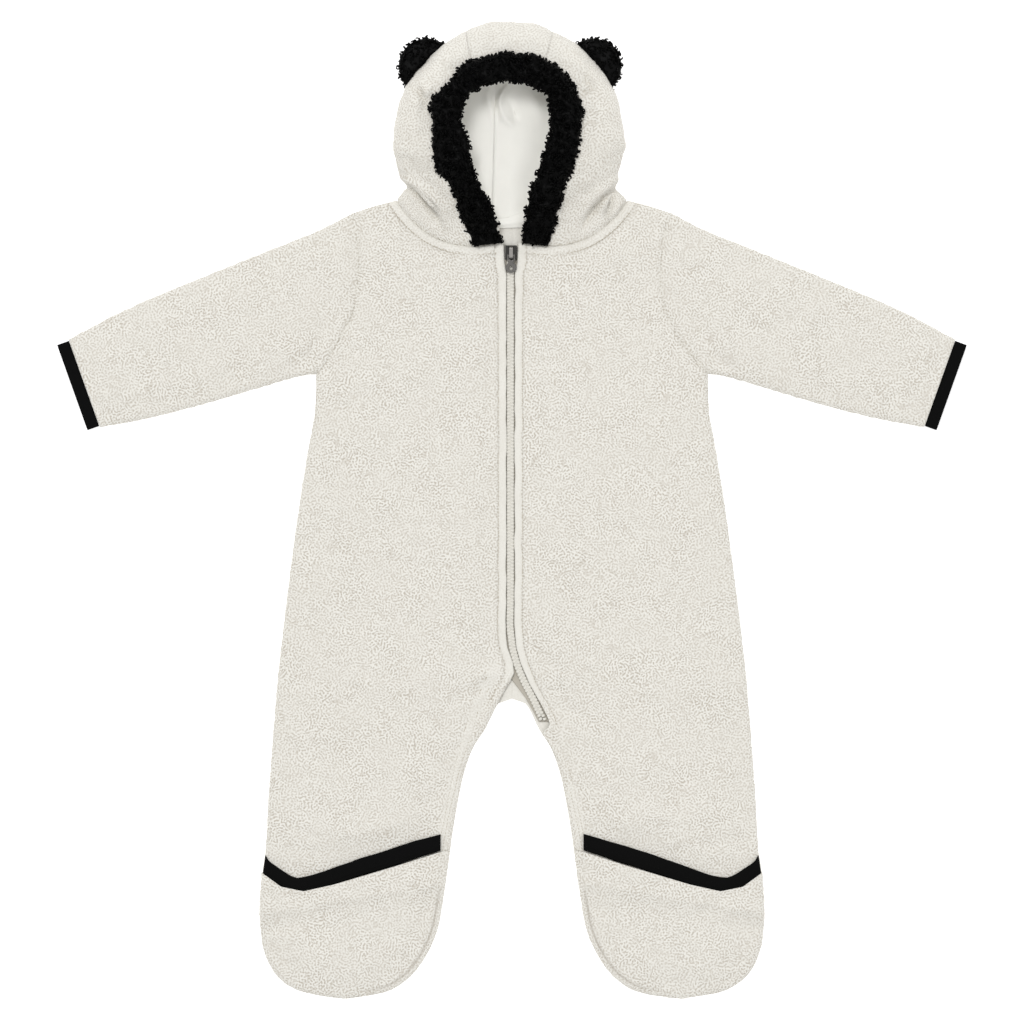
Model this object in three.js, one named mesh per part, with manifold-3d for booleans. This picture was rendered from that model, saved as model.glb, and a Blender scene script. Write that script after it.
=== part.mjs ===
// Hooded pile-fleece pramsuit for a baby, laid flat and face up.
// Millimetres, +Z up, head towards +Y, the wearer's left at +X.
import * as THREE from 'three';
import { mergeVertices } from 'three/addons/utils/BufferGeometryUtils.js';
import Module from 'manifold-3d';

const wasm = await Module();
wasm.setup();

// ---- cloth ----
const LAID = 10.8;            // back and front lying on each other
const MID = LAID / 2;         // height of the side seams
const GAP = 0.2;              // half the space between back and front
const CLOTH = MID - GAP;      // one layer of pile fleece
const RIM = 0.75;             // height of a layer's rounded edge from MID
const SEAM = 0.4;             // between two pieces sewn edge to edge
const PLY = 0.4;              // between a piece and one lying on it
const EDGE = [0, 1.2];        // grid columns that round an edge off

// ---- outline of the wearer's left half; the right half is its mirror ----
const NECK = [96, 257.4], SHOULDER = [133, 247], ARMPIT = [162.5, 114];
const ARMHOLE_SAG = 20.5, ARMHOLE_LEAN = 2.4, ARMHOLE_STEPS = 6;
const SLEEVE = [              // top edge x, y, under edge x, y, sag of the row
  [133, 247, 162.5, 114, 20.5],
  [158, 234, 178, 111.5, 12],
  [200, 217, 212, 101.5, 5],
  [262, 192, 258, 88, 1],
  [321, 167, 304, 76.5, 0],
  [368, 142.5, 342, 69.5, 0],
];
const SIDE = [                // y, half width at the side seam
  [114, 162.5], [84, 163.5], [50, 169.3], [0, 177.3], [-66, 186], [-132, 193.8], [-182, 198],
  [-232, 201.7], [-282, 204.6], [-305, 208], [-331, 209.6], [-348, 208.7], [-364, 206.3],
  [-381, 198.8], [-392, 188], [-400, 171], [-405, 141],
];
const INSEAM = [              // y, half width at the inseam
  [-156, 8], [-163, 13.7], [-181, 22.4], [-196, 32], [-214, 38.8], [-232, 43.2], [-265, 49],
  [-298, 53.5], [-331, 58.5], [-348, 62], [-364, 68.5], [-381, 79.3], [-392, 91], [-400, 107],
  [-405, 137],
];

// ---- zip, from the neck into the left inseam ----
const ZIP = [                 // y, x of its middle
  [221.5, -0.8], [212, -0.8], [-74, -0.8], [-96, -1.3], [-115, 0.6], [-127, 4], [-135, 7.2],
  [-142, 10.2], [-155, 17.2], [-165, 21.8], [-175, 26.6],
];
const ZIP_LEFT = [            // y, x of the left front's edge
  [222.3, 6.3], [206, 5.6], [197, 3.3], [-74, 3.1], [-96, 2.7], [-115, 5.2], [-127, 8],
  [-142, 14], [-160, 24], [-171, 29.6], [-183, 33.4], [-207, 38],
];
const ZIP_RIGHT = [           // y, -x of the right front's edge
  [222.3, 7.9], [206, 7.2], [197, 4.9], [-74, 4.7], [-96, 5.3], [-115, 4.6], [-127, 1.2],
  [-142, 5.2], [-151, 7.8], [-163, 13.7],
];
const PLACKET = 6.5, PLACKET_DROP = 0.8;    // pressed strip beside the zip
const CHAIN = 5.6, TAPE = 13;               // width of the coil, reach of a tape
const TAPE_Z = [5.5, 6.3], CHAIN_Z = [6.7, 8.8];
const FACING = 14, FACING_LIFT = 1;         // front's underside raised over the tape
const SLIDER = { top: 220.4, long: 11.6, wide: 9.6, deck: 10.2 };
const PULL = { y: 212, z: 11.55, thick: 1.3, ring: 4.6, ringY: 202, eye: 3.2 };

// ---- foot flaps ----
const LEG_END = [-304, -330];               // y of the front's hem, inner and outer end
const FLAP_TOP = [[51.4, -281], [58.9, -282.7], [96, -294.4], [148.5, -310],
  [173, -315.4], [191.5, -311.6], [208, -299.6]];
const BINDING = 13, BINDING_THICK = 3.6;    // knit binding on the flap's edge
const BINDING_IN = 7.7;                     // the binding starts this far in from the inseam
const TOE = [[-364, 0], [-381, 0], [-392, 0], [-399, 0], [-402.6, 0], [-404.7, 0]];

// ---- cuffs ----
const CUFF = { long: 10.2, inset: 1.2, half: 4.2, wall: 2.6 };

// ---- hood: rows from the front of the neck (0) up the rim to the crown (12) ----
const HOOD = [                // rim x, y, outline x, y, sag, height, width of the trim
  [7.5, 224, 96, 258, 17, 10.8, 27],
  [9.5, 236, 87.5, 268, 9, 16, 28],
  [13, 250, 88.5, 277, 4, 23, 28],
  [19.5, 267, 94, 288, 1, 31, 28],
  [27, 286, 96.3, 301, 0, 38, 28],
  [32, 305, 95.3, 315, 0, 42, 28],
  [35, 321, 92, 331, 0, 43, 27],
  [35, 333, 87, 347, 0, 43, 27],
  [33, 341, 77, 365, 0, 42, 25],
  [30, 345.5, 59, 384, 0, 41, 24],
  [25, 348.5, 36.5, 397.5, 0, 40, 25],
  [12, 352.8, 18, 404, 0, 39, 26],
  [0, 354.5, 0, 406, 0, 38, 26],
];
const CROWN = HOOD.length - 1, STRIP_ROW = 10;
const LEAN_RIM = -4, LEAN_OUT = -2.2;       // the hood lies a little to the wearer's right
const STRIP_FOOT = 37.5;                    // half width of the centre strip at the back neck
const BACK_NECK = [236.4, 0.174];           // y at the middle, slope
const LINING = { clear: 0.8, thick: 1.2, from: 2, seam: -0.7, x: [-17, -13] };
const TRIM_THICK = 10;
const NECK_TAPE = { half: 34, y: [235.2, 243.2], z: [7.6, 8.4] };
const EAR = { x: 68.9, y: 368.1, lean: -1.7, r: 24.2, z: 21, half: 5.5, edge: 1.3,
  from: -45, to: 126, base: [9.1, 7.35] };

// ---- colours ----
const material = (color, roughness = 1, metalness = 0) =>
  new THREE.MeshStandardMaterial({ color, roughness, metalness });
const FLEECE = material('#ebe8de'), LINING_WHITE = material('#eeece4'), TAPE_CREAM = material('#e9e6dc');
const CURLY = material('#0b0b0c'), KNIT = material('#141415', 0.95);
const METAL = material('#5c5a57', 0.35, 1);

// ---------- small helpers ----------
const lerp = (a, b, t) => a + (b - a) * t;
const clamp = (v, a = 0, b = 1) => Math.max(a, Math.min(b, v));
const mix = (p, q, t) => p.map((v, i) => lerp(v, q[i], t));
const range = (n) => [...Array(n).keys()];
const length = (a, b) => Math.hypot(b[0] - a[0], b[1] - a[1]);

// A table's column at a key, by a cubic through its neighbouring rows or by straight lines.
function look(table, key, col = 1, straight = false) {
  const down = table[1][0] < table[0][0], last = table.length - 1;
  let i = 0;
  while (i < last - 1 && (down ? key < table[i + 1][0] : key > table[i + 1][0])) i++;
  const a = table[i], b = table[i + 1], span = b[0] - a[0];
  const t = clamp((key - a[0]) / span);
  if (straight) return lerp(a[col], b[col], t);
  const p = table[Math.max(0, i - 1)], q = table[Math.min(last, i + 2)];
  const m0 = (b[col] - p[col]) / (b[0] - p[0]) * span;
  const m1 = (q[col] - a[col]) / (q[0] - a[0]) * span;
  const t2 = t * t, t3 = t2 * t;
  return (2 * t3 - 3 * t2 + 1) * a[col] + (t3 - 2 * t2 + t) * m0
    + (3 * t2 - 2 * t3) * b[col] + (t3 - t2) * m1;
}

// A path from a to b that sags to its right hand by `sag` at the middle.
const bowed = (a, b, sag = 0) => (t) => {
  const dx = b[0] - a[0], dy = b[1] - a[1], s = 4 * t * (1 - t) * sag / Math.hypot(dx, dy);
  return [a[0] + dx * t + dy * s, a[1] + dy * t - dx * s];
};

// A path along straight pieces, even in length, or even in steps.
function track(points, evenSteps = false) {
  const at = [0];
  for (let i = 1; i < points.length; i++) at.push(at[i - 1] + (evenSteps ? 1 : length(points[i - 1], points[i])));
  const total = at[at.length - 1];
  return (t) => {
    const d = clamp(t) * total;
    let i = 0;
    while (i < points.length - 2 && d > at[i + 1]) i++;
    return mix(points[i], points[i + 1], (d - at[i]) / (at[i + 1] - at[i]));
  };
}

const pathLength = (path) => range(16).reduce((s, i) => s + length(path(i / 16), path((i + 1) / 16)), 0);

// ---------- outline and heights ----------
function halfOutline() {
  const armX = SLEEVE[5][0], hood = [[36, 398], [87, 347], [96, 300], [88, 272]];
  const top = SLEEVE.map((r) => [r[0], r[1]]), under = SLEEVE.map((r) => [r[2], r[3]]).reverse();
  const past = (p) => [p[0] + 28, p[1] - 10];
  const fine = (table) => table.slice(1).flatMap((row, i) => [0.5, 1].map((t) => {
    const y = lerp(table[i][0], row[0], t);
    return [look(table, y), y];
  }));
  return [...hood, NECK, [114, 253.2], ...top, past(top[5]), past(under[0]), ...under,
    ...fine(SIDE), ...fine(INSEAM).reverse(), [INSEAM[0][1], INSEAM[0][0]]].filter((p) => p[0] < armX + 60);
}
const HALF = halfOutline();
const OUTLINE = [[0, 406], ...HALF, ...HALF.map(([x, y]) => [-x, y]).reverse()];

// Distance from a point to the outline of the laid suit.
function inside(x, y) {
  let best = Infinity;
  OUTLINE.forEach((a, i) => {
    const b = OUTLINE[(i + 1) % OUTLINE.length], dx = b[0] - a[0], dy = b[1] - a[1];
    const t = clamp(((x - a[0]) * dx + (y - a[1]) * dy) / (dx * dx + dy * dy || 1));
    best = Math.min(best, Math.hypot(x - a[0] - dx * t, y - a[1] - dy * t));
  });
  return best;
}
const round = (d, r = MID) => Math.sqrt(1 - (1 - clamp(d / r)) ** 2);
const topOf = (x, y) => MID + RIM + (MID - RIM) * round(inside(x, y));
const underOf = (x, y) => MID - RIM - (MID - RIM) * round(inside(x, y));

// ---------- solids from grids ----------
function solid(name, points, faces, mat) {
  let volume = 0;
  const [a, b, c] = [new THREE.Vector3(), new THREE.Vector3(), new THREE.Vector3()];
  for (const f of faces) {
    volume += a.fromArray(points[f[0]]).dot(b.fromArray(points[f[1]]).cross(c.fromArray(points[f[2]])));
  }
  const geometry = new THREE.BufferGeometry();
  geometry.setAttribute('position', new THREE.Float32BufferAttribute(points.flat(), 3));
  geometry.setIndex((volume < 0 ? faces.map((f) => [f[0], f[2], f[1]]) : faces).flat());
  geometry.computeVertexNormals();
  const mesh = new THREE.Mesh(geometry, mat);
  mesh.name = name;
  return mesh;
}

// A wall between two grids of the same rows and columns; `ring` joins the last column to the first.
function wall(name, outer, inner, mat, ring = false) {
  const rows = outer.length, cols = outer[0].length, half = rows * cols;
  const points = [...outer.flat(), ...inner.flat()], faces = [];
  const id = (layer, r, c) => layer * half + r * cols + (c % cols);
  const quad = (p, q, r, s) => faces.push([p, q, r], [p, r, s]);
  for (let r = 0; r < rows - 1; r++) {
    for (let c = 0; c < (ring ? cols : cols - 1); c++) {
      quad(id(0, r, c), id(0, r, c + 1), id(0, r + 1, c + 1), id(0, r + 1, c));
      quad(id(1, r + 1, c), id(1, r + 1, c + 1), id(1, r, c + 1), id(1, r, c));
    }
    if (!ring) {
      quad(id(0, r, 0), id(0, r + 1, 0), id(1, r + 1, 0), id(1, r, 0));
      quad(id(0, r + 1, cols - 1), id(0, r, cols - 1), id(1, r, cols - 1), id(1, r + 1, cols - 1));
    }
  }
  for (let c = 0; c < (ring ? cols : cols - 1); c++) {
    quad(id(0, 0, c + 1), id(0, 0, c), id(1, 0, c), id(1, 0, c + 1));
    quad(id(0, rows - 1, c), id(0, rows - 1, c + 1), id(1, rows - 1, c + 1), id(1, rows - 1, c));
  }
  return solid(name, points, faces, mat);
}

// A bar from rings of points, closed by a fan at each end.
function bar(name, rings, mat) {
  const n = rings[0].length, points = rings.flat(), faces = [];
  for (let r = 0; r < rings.length - 1; r++) {
    for (let i = 0; i < n; i++) {
      const a = r * n + i, b = r * n + (i + 1) % n;
      faces.push([a, b, b + n], [a, b + n, a + n]);
    }
  }
  const end = (rings.length - 1) * n;
  for (let i = 1; i < n - 1; i++) faces.push([0, i + 1, i], [end, end + i, end + i + 1]);
  return solid(name, points, faces, mat);
}

// Distances of the grid columns along a row: rounded inner edge, even steps, rounded outer edge.
function columns(L, start, middle) {
  const ends = [MID, ...EDGE.slice().reverse()];
  const k = Math.min(1, L / (start[start.length - 1] + MID + 6));
  const first = start[start.length - 1] * k, last = L - MID * k;
  return [...start.map((q) => q * k), ...middle.map((f) => lerp(first, last, f)), ...ends.map((q) => L - q * k)];
}

// Grid of [x, y] over rows of paths.
const grid = (rows, start, middle) => rows.map((path) => {
  const L = pathLength(path);
  return columns(L, start, middle).map((q) => [...path(q / L), q]);
});

// ---------- edges shared by the pieces of one half ----------
const armhole = (side) => {
  const curve = bowed(SHOULDER, ARMPIT, ARMHOLE_SAG + ARMHOLE_LEAN * side);
  return track(range(ARMHOLE_STEPS + 1).map((i) => curve(i / ARMHOLE_STEPS)), true);
};

// Outer ends of a body panel's rows down to the armpit.
const upperOuter = (side) => [[114, 253.2],
  ...range(ARMHOLE_STEPS + 1).map((i) => armhole(side)(i / ARMHOLE_STEPS)).map(([x, y]) => [x - SEAM / 2, y])];

const straightRow = (inner, outer) => bowed(inner, outer, 0);
const across = (edge, y) => straightRow([edge(y), y], [look(SIDE, y), y]);
const inseam = (y) => look(INSEAM, y);

// ---------- body ----------
function back(name, side) {
  const neckEnd = [96.5, BACK_NECK[0] - 0.7 + BACK_NECK[1] * 96.5];
  const uppers = upperOuter(side), innerY = [224, 206, 197, 180, 162, 145, 127, 108];
  const edge = (y) => (y > INSEAM[0][0] ? 0.2 : inseam(y));
  const rows = [straightRow([0.2, BACK_NECK[0] - 0.7], neckEnd),
    ...uppers.map((p, i) => straightRow([0.2, innerY[i]], p)),
    ...[84, 20, -50, -110, -155.7, -156.3, -163, -181, -196, -214, -250, -290, -331, -348,
      ...TOE.map((r) => r[0])].map((y) => across(edge, y))];
  const plan = grid(rows, [...EDGE, MID], [1 / 3, 2 / 3]);
  const outer = plan.map((r) => r.map(([x, y]) => [side * x, y, underOf(x, y)]));
  const inner = plan.map((r) => r.map(([x, y]) => [side * x, y, MID - GAP]));
  return wall(name, outer, inner, FLEECE);
}

function front(name, side) {
  const table = side > 0 ? ZIP_LEFT : ZIP_RIGHT, end = table[table.length - 1][0];
  const edge = (y) => (y > end ? look(table, y, 1, true) : inseam(y));
  const uppers = upperOuter(side), innerY = [210, 199, 187, 173, 158, 143, 127, 108];
  const sag = [24, 22, 14, 8, 4, 2, 0, 0];
  const hem = straightRow([inseam(LEG_END[0]), LEG_END[0]], [look(SIDE, LEG_END[1]), LEG_END[1]]);
  const rows = [bowed([edge(222.3), 222.3], [NECK[0], NECK[1] - 0.6], HOOD[0][4] + 1.5),
    ...uppers.map((p, i) => bowed([edge(innerY[i]), innerY[i]], p, sag[i])),
    ...[84, 20, -50, -74, -96, -115, -127, -142, -151, -160, -171, -183, -196, -214, -250]
      .map((y) => across(edge, y)),
    straightRow([inseam(-280), -280], [look(SIDE, -292), -292]), hem];
  const plan = grid(rows, [...EDGE, PLACKET, FACING], [1 / 3, 2 / 3]);
  const pressed = (q, y) => (q < PLACKET - 0.1 && y > -186 + 30 * (side < 0) ? PLACKET_DROP : 0);
  const lifted = (q, y) => (q < FACING + 0.1 && y > -186 ? FACING_LIFT : 0);
  const outer = plan.map((r) => r.map(([x, y, q]) => [side * x, y, topOf(x, y) - pressed(q, y) * (topOf(x, y) > 9)]));
  const inner = plan.map((r) => r.map(([x, y, q]) => [side * x, y,
    Math.min(MID + GAP + lifted(q, y), topOf(x, y) - 0.55)]));
  return wall(name, outer, inner, FLEECE);
}

function sleeve(name, side) {
  const hole = armhole(side);
  const rows = SLEEVE.map((r, i) => (i ? bowed([r[0], r[1]], [r[2], r[3]], r[4] + ARMHOLE_LEAN * side * (i < 2) / 2)
    : (t) => [hole(t)[0] + SEAM / 2, hole(t)[1]]));
  const knots = range(ARMHOLE_STEPS - 1).map((i) => (i + 1) / ARMHOLE_STEPS);
  const outer = [], inner = [];
  for (const path of rows) {
    const L = pathLength(path);
    const cols = [...EDGE, MID, ...knots.map((k) => k * L), ...[MID, ...EDGE.slice().reverse()].map((q) => L - q)];
    const tight = (q) => path((CLOTH + q * (L - 2 * CLOTH) / L) / L);
    const upper = cols.map((q) => path(q / L)), lower = upper.slice().reverse();
    const innerPts = cols.map(tight);
    outer.push([...upper.map(([x, y]) => [side * x, y, topOf(x, y)]),
      ...lower.map(([x, y]) => [side * x, y, underOf(x, y)])]);
    inner.push([...innerPts.map(([x, y]) => [side * x, y, MID + GAP]),
      ...innerPts.slice().reverse().map(([x, y]) => [side * x, y, MID - GAP])]);
  }
  return wall(name, outer, inner, FLEECE, true);
}

function cuff(name, side) {
  const r = SLEEVE[SLEEVE.length - 1], a = [r[0], r[1]], b = [r[2], r[3]], L = length(a, b);
  const along = [(b[0] - a[0]) / L, (b[1] - a[1]) / L], out = [-along[1], along[0]];
  const ringAt = (far, inset, half, edge) => {
    const wide = L - 2 * inset;
    const cols = [0, 1.2, half + 1, ...[half + 1, 1.2, 0].map((q) => wide - q)];
    const at = (q, sign) => {
      const d = Math.min(q, wide - q), z = edge + (half - edge) * round(d, half);
      return [side * (a[0] + along[0] * (inset + q) + out[0] * far), a[1] + along[1] * (inset + q) + out[1] * far,
        MID + sign * z];
    };
    return [...cols.map((q) => at(q, 1)), ...cols.slice().reverse().map((q) => at(q, -1))];
  };
  const far = [SEAM, SEAM + CUFF.long / 2, SEAM + CUFF.long];
  const outer = far.map((f) => ringAt(f, CUFF.inset, CUFF.half, RIM));
  const inner = far.map((f) => ringAt(f, CUFF.inset + CUFF.wall, CUFF.half - CUFF.wall, GAP));
  return wall(name, outer, inner, KNIT, true);
}

// ---------- foot flap and its binding ----------
const OVER = [1, 1, 0.45, 0, 0, 0, 0, 0, 0, 0];    // how far each flap row lies over the front's hem

function flap(name, side) {
  const hem = (dy0, dy1) => straightRow([inseam(LEG_END[0] + dy0), LEG_END[0] + dy0],
    [look(SIDE, LEG_END[1] + dy1), LEG_END[1] + dy1]);
  const rows = [track(FLAP_TOP), hem(-4, -4), hem(-18, -14), hem(-38, -22),
    ...TOE.map((r) => across(inseam, r[0]))];
  const plan = grid(rows, [...EDGE, MID], [0.266, 0.619, 0.78, 0.902]);
  const outer = [], inner = [];
  plan.forEach((row, r) => {
    const low = row.map(([x, y]) => lerp(MID + GAP, topOf(x, y) + 3 * PLY, OVER[r]));
    const thick = row.map(([x, y]) => RIM - GAP + (CLOTH - RIM + GAP) * round(inside(x, y)));
    outer.push(row.map(([x, y], c) => [side * x, y, low[c] + thick[c]]));
    inner.push(row.map(([x, y], c) => [side * x, y, low[c]]));
  });
  return wall(name, outer, inner, FLEECE);
}

function binding(name, side) {
  const path = track(FLAP_TOP), L = pathLength(path);
  const knots = FLAP_TOP.slice(1, -1).map((p, i) => FLAP_TOP.slice(0, i + 2)
    .reduce((s, q, j, all) => (j ? s + length(all[j - 1], q) : 0), 0));
  const stops = [BINDING_IN, ...knots.slice(1), L - MID, L - 1.2];
  const rings = stops.map((q) => {
    const p = path(q / L), before = path((q - 2) / L), after = path((q + 2) / L);
    const l = length(before, after), up = [-(after[1] - before[1]) / l, (after[0] - before[0]) / l];
    const spot = (w) => [p[0] + up[0] * w, p[1] + up[1] * w];
    const base = Math.max(...[0, 5, 10, SEAM + BINDING].map((w) => topOf(...spot(w)))) + 1.5 * PLY;
    const at = (w, h) => {
      const [x, y] = spot(w), thick = RIM - GAP + (BINDING_THICK - RIM + GAP) * round(inside(x, y));
      return [side * x, y, base + thick * h];
    };
    return [at(SEAM, 0), at(SEAM + BINDING, 0), at(SEAM + BINDING, 0.5), at(SEAM + BINDING - 1.5, 1),
      at(SEAM + 1.5, 1), at(SEAM, 0.5)];
  });
  return bar(name, rings, KNIT);
}

// ---------- hood ----------
// Row w runs from -12 (right front of the neck) over 0 (crown) to 12 (left front of the neck).
const HOOD_KEYS = HOOD.map((r, i) => [i, ...r]);
function hoodRow(w) {
  const k = CROWN - Math.abs(w), side = w < 0 ? -1 : 1;
  const [rx, ry, ox, oy, sag, h, trim] = range(7).map((i) => look(HOOD_KEYS, k, i + 1, true));
  const plan = bowed([rx, ry], [ox, oy], sag), ramp = clamp(k / 3), L = length([rx, ry], [ox, oy]);
  const path = (t) => {
    const [x, y] = plan(t);
    return [side * x + ramp * lerp(LEAN_RIM, LEAN_OUT, clamp(t)), y];
  };
  return { k, side, h, trim, L, flat: L - h / 2, path, at: (q, z) => [...path(q / L), z] };
}

// A row's section at depth d inside the hood's surface: over the top, round the roll, along the floor.
function section(row, foot, d, nTop, nRoll, nFloor) {
  const r = row.h / 2, turn = row.path(row.flat / row.L);
  return [...range(nTop).map((i) => row.at(row.flat * i / nTop, row.h - d)),
    ...range(nRoll + 1).map((i) => {
      const a = Math.PI * i / nRoll;
      return row.at(row.flat + (r - d) * Math.sin(a), r + (r - d) * Math.cos(a));
    }),
    ...range(nFloor).map((i) => [...mix(turn, foot, (i + 1) / nFloor), d])];
}

function hoodSide(name, side) {
  const seamRow = hoodRow(side * (CROWN - STRIP_ROW));
  const low = [side * (STRIP_FOOT + 0.4), BACK_NECK[0] + 0.3 + BACK_NECK[1] * STRIP_FOOT];
  const high = mix(low, seamRow.path(seamRow.flat / seamRow.L), 0.95);
  const rows = range(STRIP_ROW + 1).map((k) => hoodRow(side * (CROWN - k)));
  const foot = rows.map((row) => mix(low, high, row.k / STRIP_ROW));
  const [outer, inner] = [0, CLOTH].map((d) => rows.map((row, i) => section(row, foot[i], d, 4, 6, 2)));
  return wall(name, outer, inner, FLEECE);
}

function hoodStrip(name) {
  const near = CROWN - STRIP_ROW - 0.035;
  const rows = [-near, -1, 0, 1, near].map(hoodRow);
  const foot = rows.map((row, i) => {
    const x = STRIP_FOOT * (i - 2) / 2;
    return [x, BACK_NECK[0] + 0.3 + BACK_NECK[1] * Math.abs(x)];
  });
  const [outer, inner] = [0, CLOTH].map((d) => rows.map((row, i) => section(row, foot[i], d, 2, 6, 4)));
  return wall(name, outer, inner, FLEECE);
}

function lining(name, side) {
  const seam = LINING.seam + side * 0.015, first = side * (CROWN - LINING.from);
  const stops = range(10).map((i) => lerp(first, side * 2, i / 8)).filter((w, i) => i < 8);
  stops.push(side * 2, side * 1, ...(side > 0 ? [0] : []), seam);
  const clean = stops.filter((w, i) => (side > 0 ? w > seam - 0.01 : w < seam + 0.01)
    && (i === 0 || Math.abs(w - stops[i - 1]) > 0.2));
  const rows = clean.map(hoodRow), total = Math.abs(first - seam);
  const foot = rows.map((row, i) => {
    const f = Math.abs(first - clean[i]) / total;
    return [lerp(LINING.x[0], LINING.x[1], f) + side * 0.2, lerp(239, 372, f)];
  });
  const depth = CLOTH + LINING.clear;
  const [outer, inner] = [depth, depth + LINING.thick]
    .map((d) => rows.map((row, i) => section(row, foot[i], d, 2, 4, 2)));
  return wall(name, outer, inner, LINING_WHITE);
}

function hoodTrim(name) {
  const profile = [[-1.5, 0], [-2, 0.35], [2.5, 0.85], [0.5, 1], [-2.5, 0.85], [2, 0.35], [1.5, 0]];
  const base = [0, 0, 0, 0.5, 1, 1, 1];
  const rings = range(2 * CROWN + 1).map((i) => hoodRow(i - CROWN)).map((row) => profile
    .map(([q, h], i) => row.at(base[i] * row.trim + q, row.h + PLY * (row.k < 5 ? 3.5 : 1.5) + TRIM_THICK * h * (row.k < 1 ? 0.8 : 1))));
  return bar(name, rings, CURLY);
}

function ear(name, side, face) {
  const arc = range(13).map((i) => lerp(EAR.from, EAR.to, i / 12) * Math.PI / 180)
    .map((a) => [side * (EAR.x + EAR.r * Math.cos(a)) + EAR.lean, EAR.y + EAR.r * Math.sin(a)]);
  const base = range(5).map((i) => hoodRow(side * (CROWN - lerp(EAR.base[0], EAR.base[1], i / 4))))
    .map((row) => row.path(1 + 1.1 / row.L));
  const rim = [...arc, ...base], n = rim.length;
  const centre = [side * (EAR.x + 7) + EAR.lean, EAR.y + 6];
  const flat = EAR.z + face * 0.15, scales = [1, 0.82, 0.45];
  const points = [...scales.flatMap((s) => rim.map((p) => [...mix(centre, p, s),
    flat + face * (EAR.edge + (EAR.half - EAR.edge) * Math.sqrt(1 - s * s))])),
    ...rim.map((p) => [...p, flat]), [...centre, flat + face * EAR.half], [...centre, flat]];
  const top = 4 * n, bottom = top + 1, faces = [];
  for (let i = 0; i < n; i++) {
    const j = (i + 1) % n;
    for (let s = 0; s < 2; s++) faces.push([s * n + i, s * n + j, s * n + n + j], [s * n + i, s * n + n + j, s * n + n + i]);
    faces.push([2 * n + i, 2 * n + j, top], [3 * n + j, 3 * n + i, bottom], [3 * n + i, 3 * n + j, j], [3 * n + i, j, i]);
  }
  return solid(name, points, faces, CURLY);
}

// ---------- zip ----------
const flatRing = (l, r, y, z) => [[l, y, z[0]], [r, y, z[0]], [r, y, z[1]], [l, y, z[1]]];

function chain(name) {
  const ys = [SLIDER.top - SLIDER.long - 0.4, ...ZIP.slice(2).map((r) => r[0])];
  return bar(name, ys.map((y) => {
    const x = look(ZIP, y, 1, true);
    return flatRing(x - CHAIN / 2, x + CHAIN / 2, y, CHAIN_Z);
  }), TAPE_CREAM);
}

function zipTape(name, side) {
  const foot = SLIDER.top - SLIDER.long - 0.4;
  const rows = [[221, 5.4, TAPE], [foot + 0.4, 5.4, TAPE], [foot - 0.8, 0.2, TAPE], [-74, 0.2, TAPE], [-96, 0.2, TAPE],
    [-115, 0.2, TAPE], [-127, 0.2, TAPE - 1], [-135, 0.2, 11], [-142, 0.2, 9], [-155, 0.2, 6], [-165, 0.2, 5], [-175, 0.2, 4.4]];
  return bar(name, rows.map(([y, near, far]) => {
    const x = look(ZIP, y, 1, true);
    return flatRing(x + side * near, x + side * far, y, TAPE_Z);
  }), TAPE_CREAM);
}

// A flat outline given a thickness; `turn` places it.
function plate(outline, depth, turn, holes = []) {
  const shape = new THREE.Shape(outline.map(([x, y]) => new THREE.Vector2(x, y)));
  holes.forEach((h) => shape.holes.push(new THREE.Path(h.map(([x, y]) => new THREE.Vector2(x, y)))));
  const g = new THREE.ExtrudeGeometry(shape, { depth, bevelEnabled: false });
  return turn(g);
}

function joined(name, geometries, mat) {
  const solids = geometries.map((g) => {
    g.deleteAttribute('normal');
    g.deleteAttribute('uv');
    const m = mergeVertices(g, 1e-4);
    return new wasm.Manifold(new wasm.Mesh({ numProp: 3,
      vertProperties: new Float32Array(m.attributes.position.array), triVerts: new Uint32Array(m.index.array) }));
  });
  const mesh = solids.reduce((a, b) => a.add(b)).getMesh();
  const g = new THREE.BufferGeometry();
  g.setAttribute('position', new THREE.BufferAttribute(mesh.vertProperties, 3));
  g.setIndex(new THREE.BufferAttribute(mesh.triVerts, 1));
  g.computeVertexNormals();
  const out = new THREE.Mesh(g, mat);
  out.name = name;
  return out;
}

// Slider: two plates on a web, with side lips over the coil, and a bridge for the pull.
function slider(name) {
  const w = SLIDER.wide / 2, low = TAPE_Z, deck = SLIDER.deck, top = deck - 1.1;
  const half = [[1.4, low[1]], [w, low[1]], [w, low[0]]];
  const upper = [[1.4, top], [w - 1.1, top], [w - 1.1, top - 1.2], [w, top - 1.2], [w, deck]];
  const right = [...upper.slice().reverse(), ...half];
  const outline = [...right, ...right.slice().reverse().map(([x, z]) => [-x, z])];
  const body = plate(outline, SLIDER.long, (g) => g.rotateX(Math.PI / 2).translate(-0.8, SLIDER.top, 0));
  const b = [SLIDER.top - SLIDER.long + 0.6, SLIDER.top - 0.6], high = deck + 3.7;
  const bridge = [[b[0], deck - 0.4], [b[0], high - 0.6], [b[0] + 0.9, high], [b[1] - 1.6, high], [b[1], high - 1.6],
    [b[1], deck - 0.4], [b[1] - 1.1, deck - 0.4], [b[1] - 1.1, high - 1.9], [b[1] - 1.9, high - 1],
    [b[0] + 1.1, high - 1], [b[0] + 1.1, deck - 0.4]];
  const arch = plate(bridge, 3.2, (g) => g.rotateY(Math.PI / 2).rotateX(Math.PI / 2).translate(-0.8 - 1.6, 0, 0));
  return joined(name, [body, arch], METAL);
}

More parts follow.
